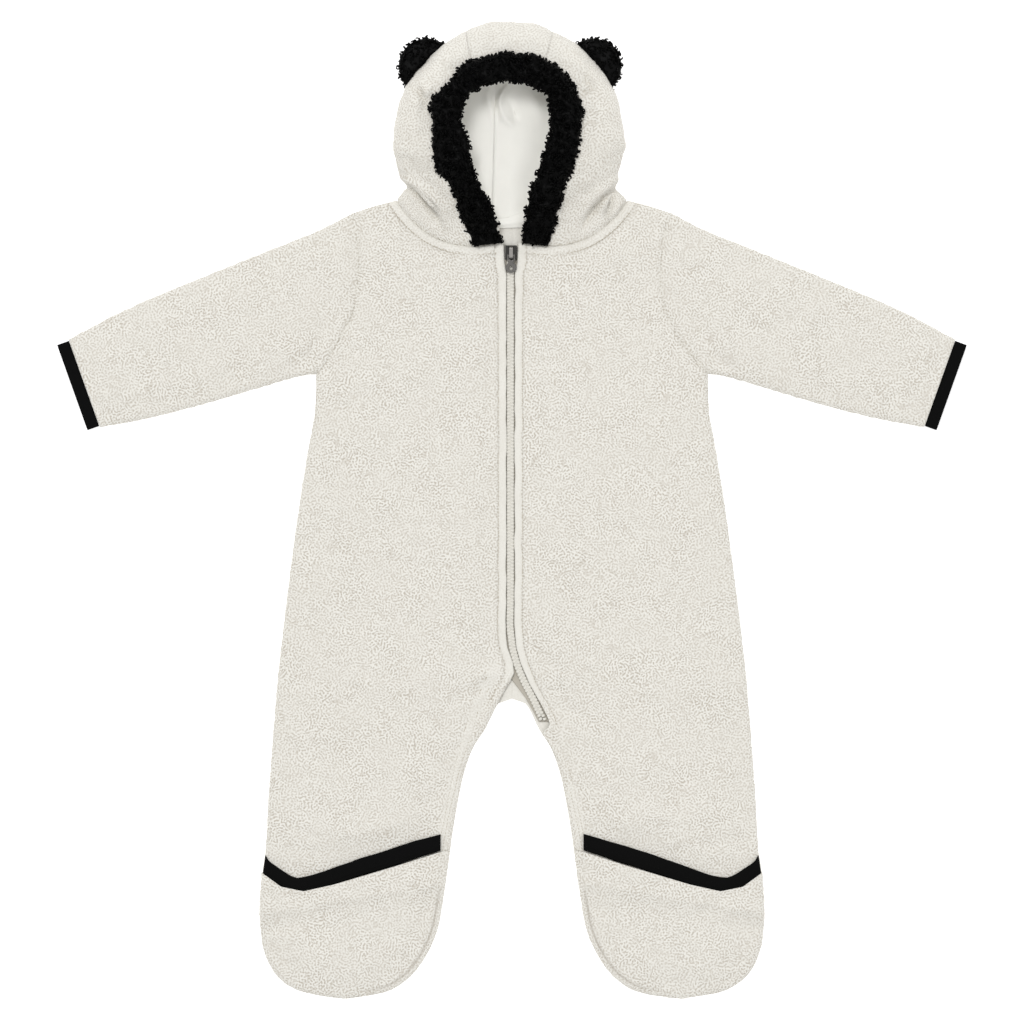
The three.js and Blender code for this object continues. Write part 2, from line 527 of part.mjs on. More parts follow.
// Pull: a bar under the bridge, two cheeks beside it, a waist and a ring.
function pull(name) {
  const { y, ring, ringY, eye, thick } = PULL, t = thick / 2;
  const lobe = range(11).map((i) => (25 - 23 * i) * Math.PI / 180)
    .map((a) => [ring * Math.cos(a), ringY + ring * Math.sin(a)]);
  const outline = [[eye, y + t], [eye, y - 4.6], [1.9, y - 5.4], ...lobe, [-1.9, y - 5.4], [-eye, y - 4.6], [-eye, y + t]];
  const windowHole = [[2, y - t], [-2, y - t], [-2, y - 4.2], [2, y - 4.2]];
  const drop = range(10).map((i) => i * Math.PI / 5 + 0.1).map((a) => [1.6 * Math.cos(a), ringY - 0.4 + 2 * Math.sin(a)]);
  return joined(name, [plate(outline, thick, (g) => g.translate(-0.8, 0, PULL.z - t), [windowHole, drop])], METAL);
}

// ---------- the suit ----------
const suit = new THREE.Group();
for (const [side, word] of [[1, 'left'], [-1, 'right']]) {
  suit.add(back(`back_${word}`, side), front(`front_${word}`, side), sleeve(`sleeve_${word}`, side));
  suit.add(cuff(`cuff_${word}`, side), flap(`foot_flap_${word}`, side), binding(`flap_binding_${word}`, side));
  suit.add(hoodSide(`hood_${word}`, side), lining(`hood_lining_${word}`, side), zipTape(`zip_tape_${word}`, side));
  suit.add(ear(`ear_${word}_front`, side, 1), ear(`ear_${word}_back`, side, -1));
}
const tape = new THREE.BoxGeometry(2 * NECK_TAPE.half, NECK_TAPE.y[1] - NECK_TAPE.y[0], NECK_TAPE.z[1] - NECK_TAPE.z[0]);
tape.translate(-3, (NECK_TAPE.y[0] + NECK_TAPE.y[1]) / 2, (NECK_TAPE.z[0] + NECK_TAPE.z[1]) / 2);
const neckTape = new THREE.Mesh(tape, LINING_WHITE);
neckTape.name = 'neck_tape';
suit.add(neckTape, hoodStrip('hood_centre'), hoodTrim('hood_trim'), chain('zip_chain'), slider('zip_slider'), pull('zip_pull'));

// The origin is the middle of the suit's outline, on the surface it lies on.
const box = new THREE.Box3().setFromObject(suit);
suit.children.forEach((m) => m.geometry.translate(-(box.min.x + box.max.x) / 2, -(box.min.y + box.max.y) / 2, -box.min.z));

export default suit;
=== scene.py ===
import math

import bpy
import numpy as np
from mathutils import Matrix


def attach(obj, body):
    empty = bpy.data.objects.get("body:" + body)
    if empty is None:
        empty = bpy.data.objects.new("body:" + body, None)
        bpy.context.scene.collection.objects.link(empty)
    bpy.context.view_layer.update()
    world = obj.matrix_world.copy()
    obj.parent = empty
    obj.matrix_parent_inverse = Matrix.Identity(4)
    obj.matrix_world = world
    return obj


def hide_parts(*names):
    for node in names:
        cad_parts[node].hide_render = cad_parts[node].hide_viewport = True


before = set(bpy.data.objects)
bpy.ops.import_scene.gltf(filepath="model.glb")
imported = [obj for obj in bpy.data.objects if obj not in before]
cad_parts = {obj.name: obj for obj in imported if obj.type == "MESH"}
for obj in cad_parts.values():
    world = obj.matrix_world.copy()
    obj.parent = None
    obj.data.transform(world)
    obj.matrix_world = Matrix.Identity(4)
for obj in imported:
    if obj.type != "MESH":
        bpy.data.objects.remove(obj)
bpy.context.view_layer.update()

bl_info = {
    "name": "Hooded pramsuit",
    "version": (1, 0, 0),
    "blender": (4, 5, 0),
    "location": "View3D > Sidebar > Pramsuit",
    "description": "Builds a baby's hooded pile-fleece pramsuit, laid flat and face up",
    "category": "Object",
}

MM = 0.001
RISE = -0.65                  # the suit's middle is this far from the tables' zero along Y

# ---- tables in millimetres; +X is the wearer's left, and each table is of that half ----
LAID = 10.8
MID = LAID / 2
GAP = 0.2
RIM = 0.75
CLOTH = 5.2                   # one layer of pile fleece
NECK, SHOULDER, ARMPIT = (96, 257.4), (133, 247), (162.5, 114)
SLEEVE = np.array([           # top edge x, y, under edge x, y, sag of the row
    (133, 247, 162.5, 114, 20.5), (158, 234, 178, 111.5, 12), (200, 217, 212, 101.5, 5),
    (262, 192, 258, 88, 1), (321, 167, 304, 76.5, 0), (368, 142.5, 342, 69.5, 0)])
SIDE = np.array([             # y, half width at the side seam
    (114, 162.5), (84, 163.5), (50, 169.3), (0, 177.3), (-66, 186), (-132, 193.8), (-182, 198),
    (-232, 201.7), (-282, 204.6), (-305, 208), (-331, 209.6), (-348, 208.7), (-364, 206.3),
    (-381, 198.8), (-392, 188), (-400, 171), (-405, 141)])
INSEAM = np.array([           # y, half width at the inseam
    (-156, 8), (-163, 13.7), (-181, 22.4), (-196, 32), (-214, 38.8), (-232, 43.2), (-265, 49),
    (-298, 53.5), (-331, 58.5), (-348, 62), (-364, 68.5), (-381, 79.3), (-392, 91), (-400, 107),
    (-405, 137)])
ZIP = np.array([              # y, x of the zip's middle
    (221.5, -0.8), (212, -0.8), (-74, -0.8), (-96, -1.3), (-115, 0.6), (-127, 4), (-135, 7.2),
    (-142, 10.2), (-155, 17.2), (-165, 21.8), (-175, 26.6)])
ZIP_EDGE = {                  # y, distance of a front's edge from x = 0
    1: np.array([(222.3, 6.3), (206, 5.6), (197, 3.3), (-74, 3.1), (-96, 2.7), (-115, 5.2), (-127, 8),
                 (-142, 14), (-160, 24), (-171, 29.6), (-183, 33.4), (-207, 38)]),
    -1: np.array([(222.3, 7.9), (206, 7.2), (197, 4.9), (-74, 4.7), (-96, 5.3), (-115, 4.6), (-127, 1.2),
                  (-142, 5.2), (-151, 7.8), (-163, 13.7)])}
FLAP_TOP = np.array([(51.4, -281), (58.9, -282.7), (96, -294.4), (148.5, -310), (173, -315.4),
                     (191.5, -311.6), (208, -299.6)])
HOOD = np.array([             # rim x, y, outline x, y, sag, height
    (7.5, 224, 96, 258, 17, 10.8), (9.5, 236, 87.5, 268, 9, 16), (13, 250, 88.5, 277, 4, 23),
    (19.5, 267, 94, 288, 1, 31), (27, 286, 96.3, 301, 0, 38), (32, 305, 95.3, 315, 0, 42),
    (35, 321, 92, 331, 0, 43), (35, 333, 87, 347, 0, 43), (33, 341, 77, 365, 0, 42),
    (30, 345.5, 59, 384, 0, 41), (25, 348.5, 36.5, 397.5, 0, 40), (12, 352.8, 18, 404, 0, 39),
    (0, 354.5, 0, 406, 0, 38)])
CROWN, STRIP_ROW = 12, 10
LEAN_RIM, LEAN_OUT = -4, -2.2

# Folds of the laid cloth: start x, y, end x, y, bow to the left, half width, height. Whole-suit X.
BODY_FOLDS = [
    (-172, 128, -128, 172, 3, 5, -2.2), (-160, 112, -118, 138, 2, 6, -1.6), (-150, 96, -112, 112, -2, 7, 1.2),
    (150, 148, 196, 112, -5, 4, -2.8), (140, 132, 178, 106, -3, 5, 1.8), (132, 168, 168, 128, 4, 6, -1.2),
    (-8, -118, -46, -92, 4, 6, -1.4), (-8, -134, -60, -128, 5, 7, 1.3), (-6, -146, -52, -160, -5, 6, -1.5),
    (10, -118, 50, -88, -4, 7, -1.3), (18, -140, 66, -128, -5, 6, 1.2), (26, -165, 70, -176, 4, 6, -1.3),
    (-150, 40, -70, 60, 8, 16, 1.0), (60, 20, 150, -10, -9, 18, 1.0), (-120, -70, -60, -40, 6, 15, -0.9),
    (70, -90, 140, -60, 7, 14, -0.9), (-170, -190, -100, -170, 6, 13, 0.9), (90, -210, 170, -190, -6, 14, 0.9),
    (-180, -255, -90, -262, -6, 9, 1.2), (84, -262, 176, -256, 6, 9, 1.1), (-196, -276, -140, -283, -3, 6, -1.2),
    (140, -284, 198, -274, 3, 6, -1.2), (-84, 205, -60, 150, 6, 10, 1.2), (82, 208, 62, 150, -6, 10, 1.2),
    (-104, 236, -112, 190, 4, 7, -1.3), (103, 238, 108, 188, -4, 7, -1.2),
    (-3, -122, 3, -137, -1, 1.9, -4.2), (-4.6, -138, -9, -153, 1, 1.4, -3.0), (-8, -120, -30, -104, 3, 4, 1.6),
    (-12, -128, -34, -150, -3, 4, 1.5), (-16, -150, -24, -168, -2, 2.4, -1.4), (0, -108, 30, -62, 4, 4, -0.8),
    (16, -112, 40, -150, 5, 4, -1.0), (26, -104, 62, -170, 6, 5, 0.9),
]
SLEEVE_FOLDS = [
    (-178, 118, -150, 176, -6, 6, -2.0), (-205, 112, -176, 168, -7, 8, 1.6), (-240, 108, -214, 150, -5, 9, -1.2),
    (-262, 186, -232, 150, 5, 9, 1.1), (-312, 160, -292, 112, 5, 9, -1.1), (-340, 132, -328, 92, 4, 8, 1.1),
    (-190, 208, -160, 176, 4, 8, -1.2), (184, 112, 152, 172, 6, 6, -2.2), (212, 108, 178, 170, 7, 8, 1.6),
    (248, 104, 222, 156, 5, 9, -1.3), (270, 184, 240, 142, -5, 9, 1.1), (308, 158, 296, 108, -5, 9, -1.0),
    (344, 130, 330, 96, -4, 8, 1.0), (196, 206, 160, 190, -4, 8, -1.1),
]
FOOT_FOLDS = [
    (-196, -316, -150, -338, 4, 8, -1.4), (-70, -296, -86, -350, 6, 9, -1.0), (-190, -352, -150, -392, 6, 12, 1.4),
    (196, -316, 150, -338, -4, 8, -1.4), (70, -296, 86, -350, -6, 9, -1.0), (190, -352, 150, -392, -6, 12, 1.4),
    (-120, -388, -92, -360, 4, 10, 1.0), (118, -390, 92, -362, -4, 10, 1.0),
]
HOOD_FOLDS = [
    (-92, 279, -52, 242, 4, 3.4, 3.8), (-87, 268, -60, 238, 3, 2.0, -5.6), (-76, 264, -54, 235, 2, 2.4, 3.4),
    (-70, 262, -58, 240, 2, 1.3, -3.2), (-60, 300, -46, 254, -3, 6, 1.8), (-96, 292, -78, 280, 3, 5, -1.6),
    (-80, 350, -72, 334, 2, 2.4, -4.6), (-86, 352, -80, 326, 2, 3.4, 1.6), (-92, 322, -76, 314, 2, 6, 1.2),
    (-72, 374, -58, 362, 2, 5, -1.0), (-66, 352, -74, 338, -1, 2.6, 1.8),
    (88, 268, 60, 236, -3, 2.0, -5.2), (85, 262, 80, 247, -1, 1.3, -4.2), (95, 280, 52, 240, -4, 3.6, 2.8),
    (80, 262, 74, 246, -1, 2.0, 2.8), (92, 258, 84, 244, -1, 2.2, 2.4), (77, 248, 81, 239, 1, 1.2, -2.6),
    (52, 316, 44, 262, 4, 6, 1.4), (61, 361, 68, 350, -2, 2.0, -3.4), (68, 350, 58, 346, 1, 1.8, -2.6),
    (56, 372, 66, 356, -2, 3.4, 1.8), (95, 296, 78, 282, -3, 6, -1.4), (84, 338, 74, 322, -2, 6, 1.2),
    (-14, 398, -20, 372, 2, 5, -0.7), (10, 400, 16, 374, -2, 5, -0.7), (-40, 386, -36, 374, 1, 1.6, -1.2),
]
# Lines of stitching away from an edge, whole-suit x, y: the seam bands on the inside of the legs.
SEAM_LINES = {
    -1: [[(-10, -113), (-24.9, -146.1), (-41.5, -186.8), (-48, -214), (-56.5, -257), (-62, -284), (-65, -318)],
         [(-13.3, -131.1), (-18.3, -146), (-26.6, -159.4), (-32.4, -181.8), (-43, -212), (-53.5, -257), (-59, -290)]],
    1: [[(37.5, -179), (45, -205), (52, -232), (59.5, -270), (64.5, -300)], [(48.4, -232), (56.3, -270), (61, -300)]],
}
# The back's folds: the front's mirrored, and all raised.
BACK_FOLDS = [(-x0, y0, -x1, y1, -bow, width, abs(height))
              for x0, y0, x1, y1, bow, width, height in BODY_FOLDS + SLEEVE_FOLDS]
LINING_FOLDS = [(-24, 352, -15, 322, 2, 4, 2.6), (-5, 352, -10, 334, -2, 2.2, 4.2), (-9, 335, 2, 320, -3, 2.2, 3.6),
                (-3, 340, 4, 324, 1, 2.2, -3.0), (-16, 342, -13, 322, 1, 2.0, -2.8), (14, 346, 26, 318, 2, 5, 1.6),
                (12, 300, -4, 262, -4, 9, 0.9), (-30, 300, -22, 262, 4, 9, 0.8)]


# ---------- arithmetic ----------
def look(table, key, column=1):
    """A table's column at the keys in column 0: a cubic through the rows, its slope at a row that of the line through
    its neighbours."""
    t = table[np.argsort(table[:, 0])]
    x, y = t[:, 0].astype(float), t[:, column].astype(float)
    slope = np.empty_like(y)
    slope[1:-1] = (y[2:] - y[:-2]) / (x[2:] - x[:-2])
    slope[0], slope[-1] = (y[1] - y[0]) / (x[1] - x[0]), (y[-1] - y[-2]) / (x[-1] - x[-2])
    key = np.clip(key, x[0], x[-1])
    i = np.clip(np.searchsorted(x, key) - 1, 0, len(x) - 2)
    s = x[i + 1] - x[i]
    u = (key - x[i]) / s
    return ((2 * u**3 - 3 * u**2 + 1) * y[i] + (u**3 - 2 * u**2 + u) * s * slope[i]
            + (3 * u**2 - 2 * u**3) * y[i + 1] + (u**3 - u**2) * s * slope[i + 1])


def straight(table, key, column=1):
    """A table's column at the keys in column 0, by straight lines between rows."""
    t = table[np.argsort(table[:, 0])]
    return np.interp(key, t[:, 0], t[:, column])


def distances(line):
    """Length along a line of straight pieces at each of its points."""
    return np.concatenate([[0], np.cumsum(np.linalg.norm(np.diff(line, axis=0), axis=1))])


def smooth(v):
    """0 to 1 with level ends: 3v^2 - 2v^3."""
    v = np.clip(v, 0, 1)
    return v * v * (3 - 2 * v)


def dome(d, r):
    """Height of a quarter circle of radius r, as a share of r, at distance d in from its edge."""
    return np.sqrt(1 - (1 - np.clip(d / r, 0, 1)) ** 2)


def upper(d):
    """Height of the laid cloth's top at distance d in from the outline."""
    return MID + RIM + (MID - RIM) * dome(d, MID)


def lower(d):
    """Height of the laid cloth's underside at distance d in from the outline."""
    return MID - RIM - (MID - RIM) * dome(d, MID)


def bowed(a, b, sag, t):
    """Points at shares t from a to b, pushed to the right hand by sag times 4t(1 - t)."""
    a, b, t = np.asarray(a, float), np.asarray(b, float), np.asarray(t, float)
    d = b - a
    n = np.stack([d[..., 1], -d[..., 0]], -1) / np.linalg.norm(d, axis=-1, keepdims=True)
    return a + d * t[..., None] + n * (np.asarray(sag) * 4 * t * (1 - t))[..., None]


def to_line(x, y, line):
    """Distance from every point to a line of straight pieces, as the least over its pieces."""
    best = np.full(np.shape(x), 1e9)
    for (ax, ay), (bx, by) in zip(line[:-1], line[1:]):
        dx, dy = bx - ax, by - ay
        t = np.clip(((x - ax) * dx + (y - ay) * dy) / max(dx * dx + dy * dy, 1e-9), 0, 1)
        np.minimum(best, np.hypot(x - ax - dx * t, y - ay - dy * t), out=best)
    return best


def folds(x, y, table):
    """Sum of soft ridges and troughs: height times a bell across the fold's bowed line and a flat-topped bell
    along it."""
    total = np.zeros(np.shape(x))
    for x0, y0, x1, y1, bow, width, height in table:
        dx, dy = x1 - x0, y1 - y0
        length = math.hypot(dx, dy)
        t = ((x - x0) * dx + (y - y0) * dy) / length**2
        off = ((y - y0) * dx - (x - x0) * dy) / length - bow * 4 * t * (1 - t)
        total += height * np.exp(-np.abs((t - 0.5) / 0.52) ** 3) * np.exp(-(off / width) ** 2)
    return total


def waves(x, y, z, low, high, seed, count=26):
    """Gentle lumps between -1 and 1: plane waves of wavelengths low to high, at seeded directions and
    phases, averaged."""
    rng = np.random.default_rng(seed)
    total = np.zeros(np.shape(x))
    for _ in range(count):
        d = rng.normal(size=3)
        d *= 2 * np.pi / rng.uniform(low, high) / np.linalg.norm(d)
        total += np.sin(x * d[0] + y * d[1] + z * d[2] + rng.uniform(0, 6.283))
    return total * math.sqrt(2 / count) * 0.6


def armhole(side, t):
    """The armhole seam on the left half at shares t, from the shoulder to the armpit."""
    return bowed(SHOULDER, ARMPIT, 20.5 + 2.4 * side, t)


def neckline(t):
    """The seam between the hood and the front, left half, from the zip to the neck point."""
    return bowed((7.2, 223), (96, 257.8), 17.4, t)


def sleeve_edges(count):
    """Lengths along the sleeve at its table's rows and at even places, and x and y of its upper and under edges at
    those places."""
    mids = (SLEEVE[:, :2] + SLEEVE[:, 2:4]) / 2
    at = distances(mids)
    keys = np.linspace(0, at[-1], count)
    return at, keys, [look(np.stack([at, SLEEVE[:, i]], -1), keys) for i in range(4)]


def half_outline():
    """The laid suit's outline, left half, from the crown round the sleeve and leg to the crotch."""
    cols = sleeve_edges(70)[2]
    top, under = np.stack(cols[:2], -1), np.stack(cols[2:], -1)[::-1]
    ends = np.array([top[-1] + (28, -10), under[0] + (28, -10)])
    ys = np.linspace(114, -405, 150)
    yi = np.linspace(-405, -156, 90)
    return np.vstack([[(0, 406), (36, 398), (87, 347), (96, 300), (88, 272), NECK, (114, 253.2)], top, ends, under,
                      np.stack([look(SIDE, ys), ys], -1), np.stack([look(INSEAM, yi), yi], -1), [(0, -156)]])


HALF = half_outline()


def near_edge(x, y):
    """Distance of points of the left half in from the laid suit's outline, 0 outside it, and the direction straight
    out of the outline there, which is the left-hand normal of the nearest piece."""
    best, way, out = np.full(np.shape(x), 1e9), np.zeros(np.shape(x) + (2,)), np.zeros(np.shape(x), bool)
    for (ax, ay), (bx, by) in zip(HALF[:-1], HALF[1:]):
        dx, dy = bx - ax, by - ay
        t = np.clip(((x - ax) * dx + (y - ay) * dy) / max(dx * dx + dy * dy, 1e-9), 0, 1)
        gx, gy = x - ax - dx * t, y - ay - dy * t
        off = np.hypot(gx, gy)
        near = off < best
        way[near] = np.array([-dy, dx]) / max(math.hypot(dx, dy), 1e-9)
        out[near] = (gy * dx - gx * dy > 0)[near]
        best = np.minimum(best, off)
    return np.where(out & (best < 2), 0.0, best), way


def inside(x, y):
    """Distance of points of the left half in from the laid suit's outline."""
    return near_edge(x, y)[0]


def spread_out(grid):
    """A place on the cloth for each point of a grid: the plan, and over the outline's round edge on outwards by
    the length it takes up, which is MID asin(1 - d / MID) - (MID - d) at distance d."""
    d, way = near_edge(np.abs(grid[..., 0]), grid[..., 1])
    d = np.minimum(d, MID)
    way = way * (MID * np.arcsin(1 - d / MID) - (MID - d))[..., None]
    way[..., 0] *= np.sign(grid[..., 0])
    return grid[..., :2] + way


# ---------- meshes ----------
def make_mesh(name, points, faces, material, slot, pressed=None, cloth=None):
    """A smooth mesh object at the origin from points in millimetres. The attribute 'pressed' is the share by which
    the pile is flattened, or below 0 the strength of painted shade in a stitched groove, and 'cloth' a place on the
    cloth, which is the plan where none is given."""
    points = np.asarray(points, float).reshape(-1, 3).copy()
    points[:, 1] += RISE
    faces = faces if isinstance(faces, list) else [faces]
    mesh = bpy.data.meshes.new(name)
    mesh.vertices.add(len(points))
    mesh.vertices.foreach_set("co", (points * MM).ravel())
    sizes = np.concatenate([np.full(len(f), f.shape[1]) for f in faces])
    mesh.loops.add(int(sizes.sum()))
    mesh.loops.foreach_set("vertex_index", np.concatenate([f.ravel() for f in faces]).astype(np.int32))
    mesh.polygons.add(len(sizes))
    mesh.polygons.foreach_set("loop_start", (np.cumsum(sizes) - sizes).astype(np.int32))
    mesh.polygons.foreach_set("use_smooth", np.ones(len(sizes), bool))
    mesh.update(calc_edges=True)
    mesh.validate()
    layer = mesh.attributes.new("pressed", "FLOAT", "POINT")
    layer.data.foreach_set("value", np.zeros(len(points)) if pressed is None else np.ravel(pressed).astype(float))
    place = np.zeros((len(points), 3))
    place[:, :2] = (points[:, :2] if cloth is None else np.reshape(cloth, (-1, 2))) * MM
    layer = mesh.attributes.new("cloth", "FLOAT_VECTOR", "POINT")
    layer.data.foreach_set("vector", place.ravel())
    obj = bpy.data.objects.new(name, mesh)
    bpy.context.collection.objects.link(obj)
    mesh.materials.append(material)
    return obj


def grid_faces(rows, cols, ring=False, offset=0):
    """Quads of a grid, row by row; ring joins the last column to the first."""
    r = np.arange(rows - 1)[:, None]
    c = np.arange(cols if ring else cols - 1)[None, :]
    d = (c + 1) % cols
    quads = np.stack([r * cols + c, r * cols + d, (r + 1) * cols + d, (r + 1) * cols + c], -1)
    return quads.reshape(-1, 4) + offset


def volume_of(points, faces):
    """Six times the signed volume inside a closed mesh of quads."""
    p = points[faces]
    a = np.einsum("ij,ij->i", p[:, 0], np.cross(p[:, 1], p[:, 2]))
    b = np.einsum("ij,ij->i", p[:, 0], np.cross(p[:, 2], p[:, 3]))
    return (a + b).sum()


def wall(name, outer, inner, material, slot, ring=False, flat=None, cloth=None):
    """A closed wall between two grids of the same shape, turned so that its faces point out."""
    rows, cols = outer.shape[:2]
    n = rows * cols
    a, b = grid_faces(rows, cols, ring), grid_faces(rows, cols, ring, n)[:, ::-1]
    ends = []
    for row, flip in ((0, True), (rows - 1, False)):
        c = np.arange(cols if ring else cols - 1)
        d = (c + 1) % cols
        q = np.stack([row * cols + c, row * cols + d, n + row * cols + d, n + row * cols + c], -1)
        ends.append(q[:, ::-1] if not flip else q)
    if not ring:
        for col, flip in ((0, True), (cols - 1, False)):
            r = np.arange(rows - 1)
            q = np.stack([(r + 1) * cols + col, r * cols + col, n + r * cols + col, n + (r + 1) * cols + col], -1)
            ends.append(q[:, ::-1] if not flip else q)
    points = np.concatenate([outer.reshape(-1, 3), inner.reshape(-1, 3)])
    faces = np.concatenate([a, b, *[e[:, ::-1] for e in ends]])
    if volume_of(points, faces) < 0:
        faces = faces[:, ::-1]
    marks = np.concatenate([np.zeros(n) if flat is None else np.ravel(flat), np.ones(n)])
    both = None if cloth is None else np.concatenate([cloth, cloth])
    return make_mesh(name, points, faces, material, slot, marks, both)


def push_out(grid, amount, ring=False):
    """Moves a grid's points along its own normals, the cross product of its two directions, by amount."""
    if ring:
        dc = np.roll(grid, -1, 1) - np.roll(grid, 1, 1)
    else:
        dc = np.gradient(grid, axis=1)
    n = np.cross(np.gradient(grid, axis=0), dc)
    n /= np.maximum(np.linalg.norm(n, axis=-1, keepdims=True), 1e-9)
    return grid + n * np.asarray(amount)[..., None]


def tucked(grid, shift, share=0.25):
    """A grid with a row added before its first: the first row moved by shift in plan and drawn towards the
    cloth's middle height."""
    first = grid[:1].copy()
    first[..., :2] += shift
    first[..., 2] += (MID - first[..., 2]) * share
    return np.concatenate([first, grid])


def columns(length, start, middle, end):
    """Distances along each row: the start steps, even steps, and the end steps measured back from the row's end; all
    shrink on a short row."""
    length = np.asarray(length, float)[:, None]
    k = np.minimum(1, length / (start[-1] + end[-1] + 6))
    first, last = start[-1] * k, length - end[-1] * k
    share = np.linspace(0, 1, middle + 2)[1:-1][None, :]
    return np.concatenate([np.array(start)[None, :] * k, first + (last - first) * share,
                           length - np.array(end[::-1])[None, :] * k], 1)


def row_length(inner, outer, sag):
    """Length of rows bowed between two edges."""
    chord = np.linalg.norm(outer - inner, axis=1)
    return chord + 2.67 * sag**2 / chord


def spread(inner, outer, sag, start, middle, end):
    """A panel's grid in plan: rows bowed between two edges. Returns x, y and the distance along each row."""
    length = row_length(inner, outer, sag)
    q = columns(length, start, middle, end)
    t = q / length[:, None]
    p = bowed(inner[:, None, :], outer[:, None, :], sag[:, None], t)
    return p[..., 0], p[..., 1], q


EDGE = (0, 0.35, 0.9, 1.7, 2.7, 3.9, 5.4)


# ---------- materials ----------
class Nodes:
    """A material's node tree, with short calls for adding and joining nodes."""

    def __init__(self, name):
        self.material = bpy.data.materials.new(name)
        self.material.use_nodes = True
        self.tree = self.material.node_tree
        self.shader = self.tree.nodes["Principled BSDF"]
        self.place = self.tree.nodes.new("ShaderNodeTexCoord").outputs["Object"]

    def feed(self, node, ins):
        """Sets a node's inputs, each to a value or to another node's output."""
        for key, value in ins.items():
            if isinstance(value, bpy.types.NodeSocket):
                self.tree.links.new(value, node.inputs[key])
            else:
                node.inputs[key].default_value = value

    def add(self, kind, ins, out=0, **settings):
        """One output of a new node."""
        node = self.tree.nodes.new(kind)
        for key, value in settings.items():
            setattr(node, key, value)
        self.feed(node, ins)
        return node.outputs[out]

    def noise(self, scale, detail, place=None, out="Fac", flat=False, **ins):
        """Noise in space, or in the plane where flat."""
        ins = {"Vector": place or self.place, "Scale": scale, "Detail": detail, **ins}
        return self.add("ShaderNodeTexNoise", ins, out, noise_dimensions="2D" if flat else "3D")

    def math(self, operation, *values, clamp=False):
        return self.add("ShaderNodeMath", dict(enumerate(values)), operation=operation, use_clamp=clamp)

    def ramp(self, value, low, high, first=0.0, last=1.0, kind="LINEAR"):
        """A value from low to high brought to first to last."""
        return self.add("ShaderNodeMapRange", {"Value": value, "From Min": low, "From Max": high, "To Min": first,
                                               "To Max": last}, interpolation_type=kind)

    def blend(self, share, a, b):
        """A colour between two by a share."""
        return self.add("ShaderNodeMix", {"Factor": share, 6: a, 7: b}, 2, data_type="RGBA")

    def finished(self, colour, bump=None, **values):
        """The material with its colour, a bump of (height, strength, distance) and the shader's other inputs."""
        self.feed(self.shader, {"Base Color": colour, **{k.replace("_", " "): v for k, v in values.items()}})
        if bump:
            raised = self.add("ShaderNodeBump", dict(zip(("Height", "Strength", "Distance"), bump)))
            self.feed(self.shader, {"Normal": raised})
        return self.material


def rgba(c, share=1.0):
    return (c[0] * share, c[1] * share, c[2] * share, 1.0)


def fleece_material(colours, pitch):
    """Pile fleece: short winding ridges from a Gabor pattern of the pile's pitch on the attribute 'cloth', painted
    shade in the thin darker beige furrows between them, fainter in patches, pressed smooth where it is stitched down,
    and painted shade in the stitched grooves where 'pressed' is below 0."""
    n = Nodes("pile_fleece")
    place = n.add("ShaderNodeAttribute", {}, "Vector", attribute_name="cloth")
    drift = n.noise(70.0, 1.0, place, "Color", True)
    moved = n.add("ShaderNodeVectorMath", {0: drift, 1: (0.0022, 0.0022, 0.0), 2: place}, operation="MULTIPLY_ADD")
    ridges = n.add("ShaderNodeTexGabor", {"Vector": moved, "Scale": 0.62 / pitch, "Frequency": 1.61, "Anisotropy": 0.0},
                   "Value", gabor_type="2D")
    shape = n.ramp(ridges, 0.33, 0.57, kind="SMOOTHSTEP")
    patches = n.noise(34.0, 3.0, place, flat=True, Roughness=0.65)
    faint = n.ramp(patches, 0.36, 0.62, 0.0, 0.36)
    pressed = n.add("ShaderNodeAttribute", {}, "Fac", attribute_name="pressed")
    seam_groove_shade = n.math("MULTIPLY", pressed, -1.0, clamp=True)
    flat = n.math("MAXIMUM", n.math("MULTIPLY", pressed, 0.92, clamp=True), faint)
    bends = n.noise(62.0, 2.0, place, flat=True, Roughness=0.55, Distortion=0.4)
    level = n.math("FRACT", n.math("MULTIPLY", bends, 6.0))
    level = n.math("ABSOLUTE", n.math("SUBTRACT", level, 0.5))
    level = n.ramp(level, 0.02, 0.12, 0.45, 1.0, "SMOOTHSTEP")
    calm = n.add("ShaderNodeMix", {"Factor": flat, 2: n.math("MULTIPLY", shape, level), 3: 0.85})
    height = n.math("MULTIPLY_ADD", n.noise(620.0, 2.0, Roughness=0.6), 0.4, calm)
    # Painted shade: the furrows between the ridges take the darker beige.
    furrow_shade = rgba(colours.furrow_shade)
    colour = n.blend(n.ramp(height, 0.1, 1.15), furrow_shade, rgba(colours.fleece))
    colour = n.blend(n.ramp(patches, 0.4, 0.75, 0.0, 0.12), colour, furrow_shade)
    # Painted shade in the stitched grooves, where 'pressed' is below 0.
    colour = n.blend(seam_groove_shade, colour, rgba(colours.furrow_shade, 0.8))
    return n.finished(colour, (height, 0.5, 0.0005), Roughness=0.95, Sheen_Weight=0.12, Sheen_Roughness=0.5,
                      Specular_IOR_Level=0.1)


def lining_material(colours):
    """Smooth knit lining: fine loops in rows."""
    n = Nodes("hood_lining_knit")
    wales = n.add("ShaderNodeTexWave", {"Vector": n.place, "Scale": 330.0, "Distortion": 1.2, "Detail": 1.0}, "Fac",
                  bands_direction="X")
    colour = n.blend(n.noise(60.0, 4.0), rgba(colours.lining), rgba(colours.lining, 0.94))
    return n.finished(colour, (wales, 0.25, 0.0002), Roughness=0.9, Sheen_Weight=0.15, Specular_IOR_Level=0.2)


def knit_material(colours):
    """Black ribbed binding: fine ribs with a fuzzy surface."""
    n = Nodes("binding_knit")
    fuzz = n.noise(1400.0, 3.0, Roughness=0.7)
    height = n.math("MULTIPLY_ADD", fuzz, 0.5, n.noise(220.0, 2.0))
    colour = n.blend(fuzz, rgba(colours.binding), rgba(colours.binding, 2.2))
    return n.finished(colour, (height, 0.6, 0.0005), Roughness=0.9, Specular_IOR_Level=0.02)


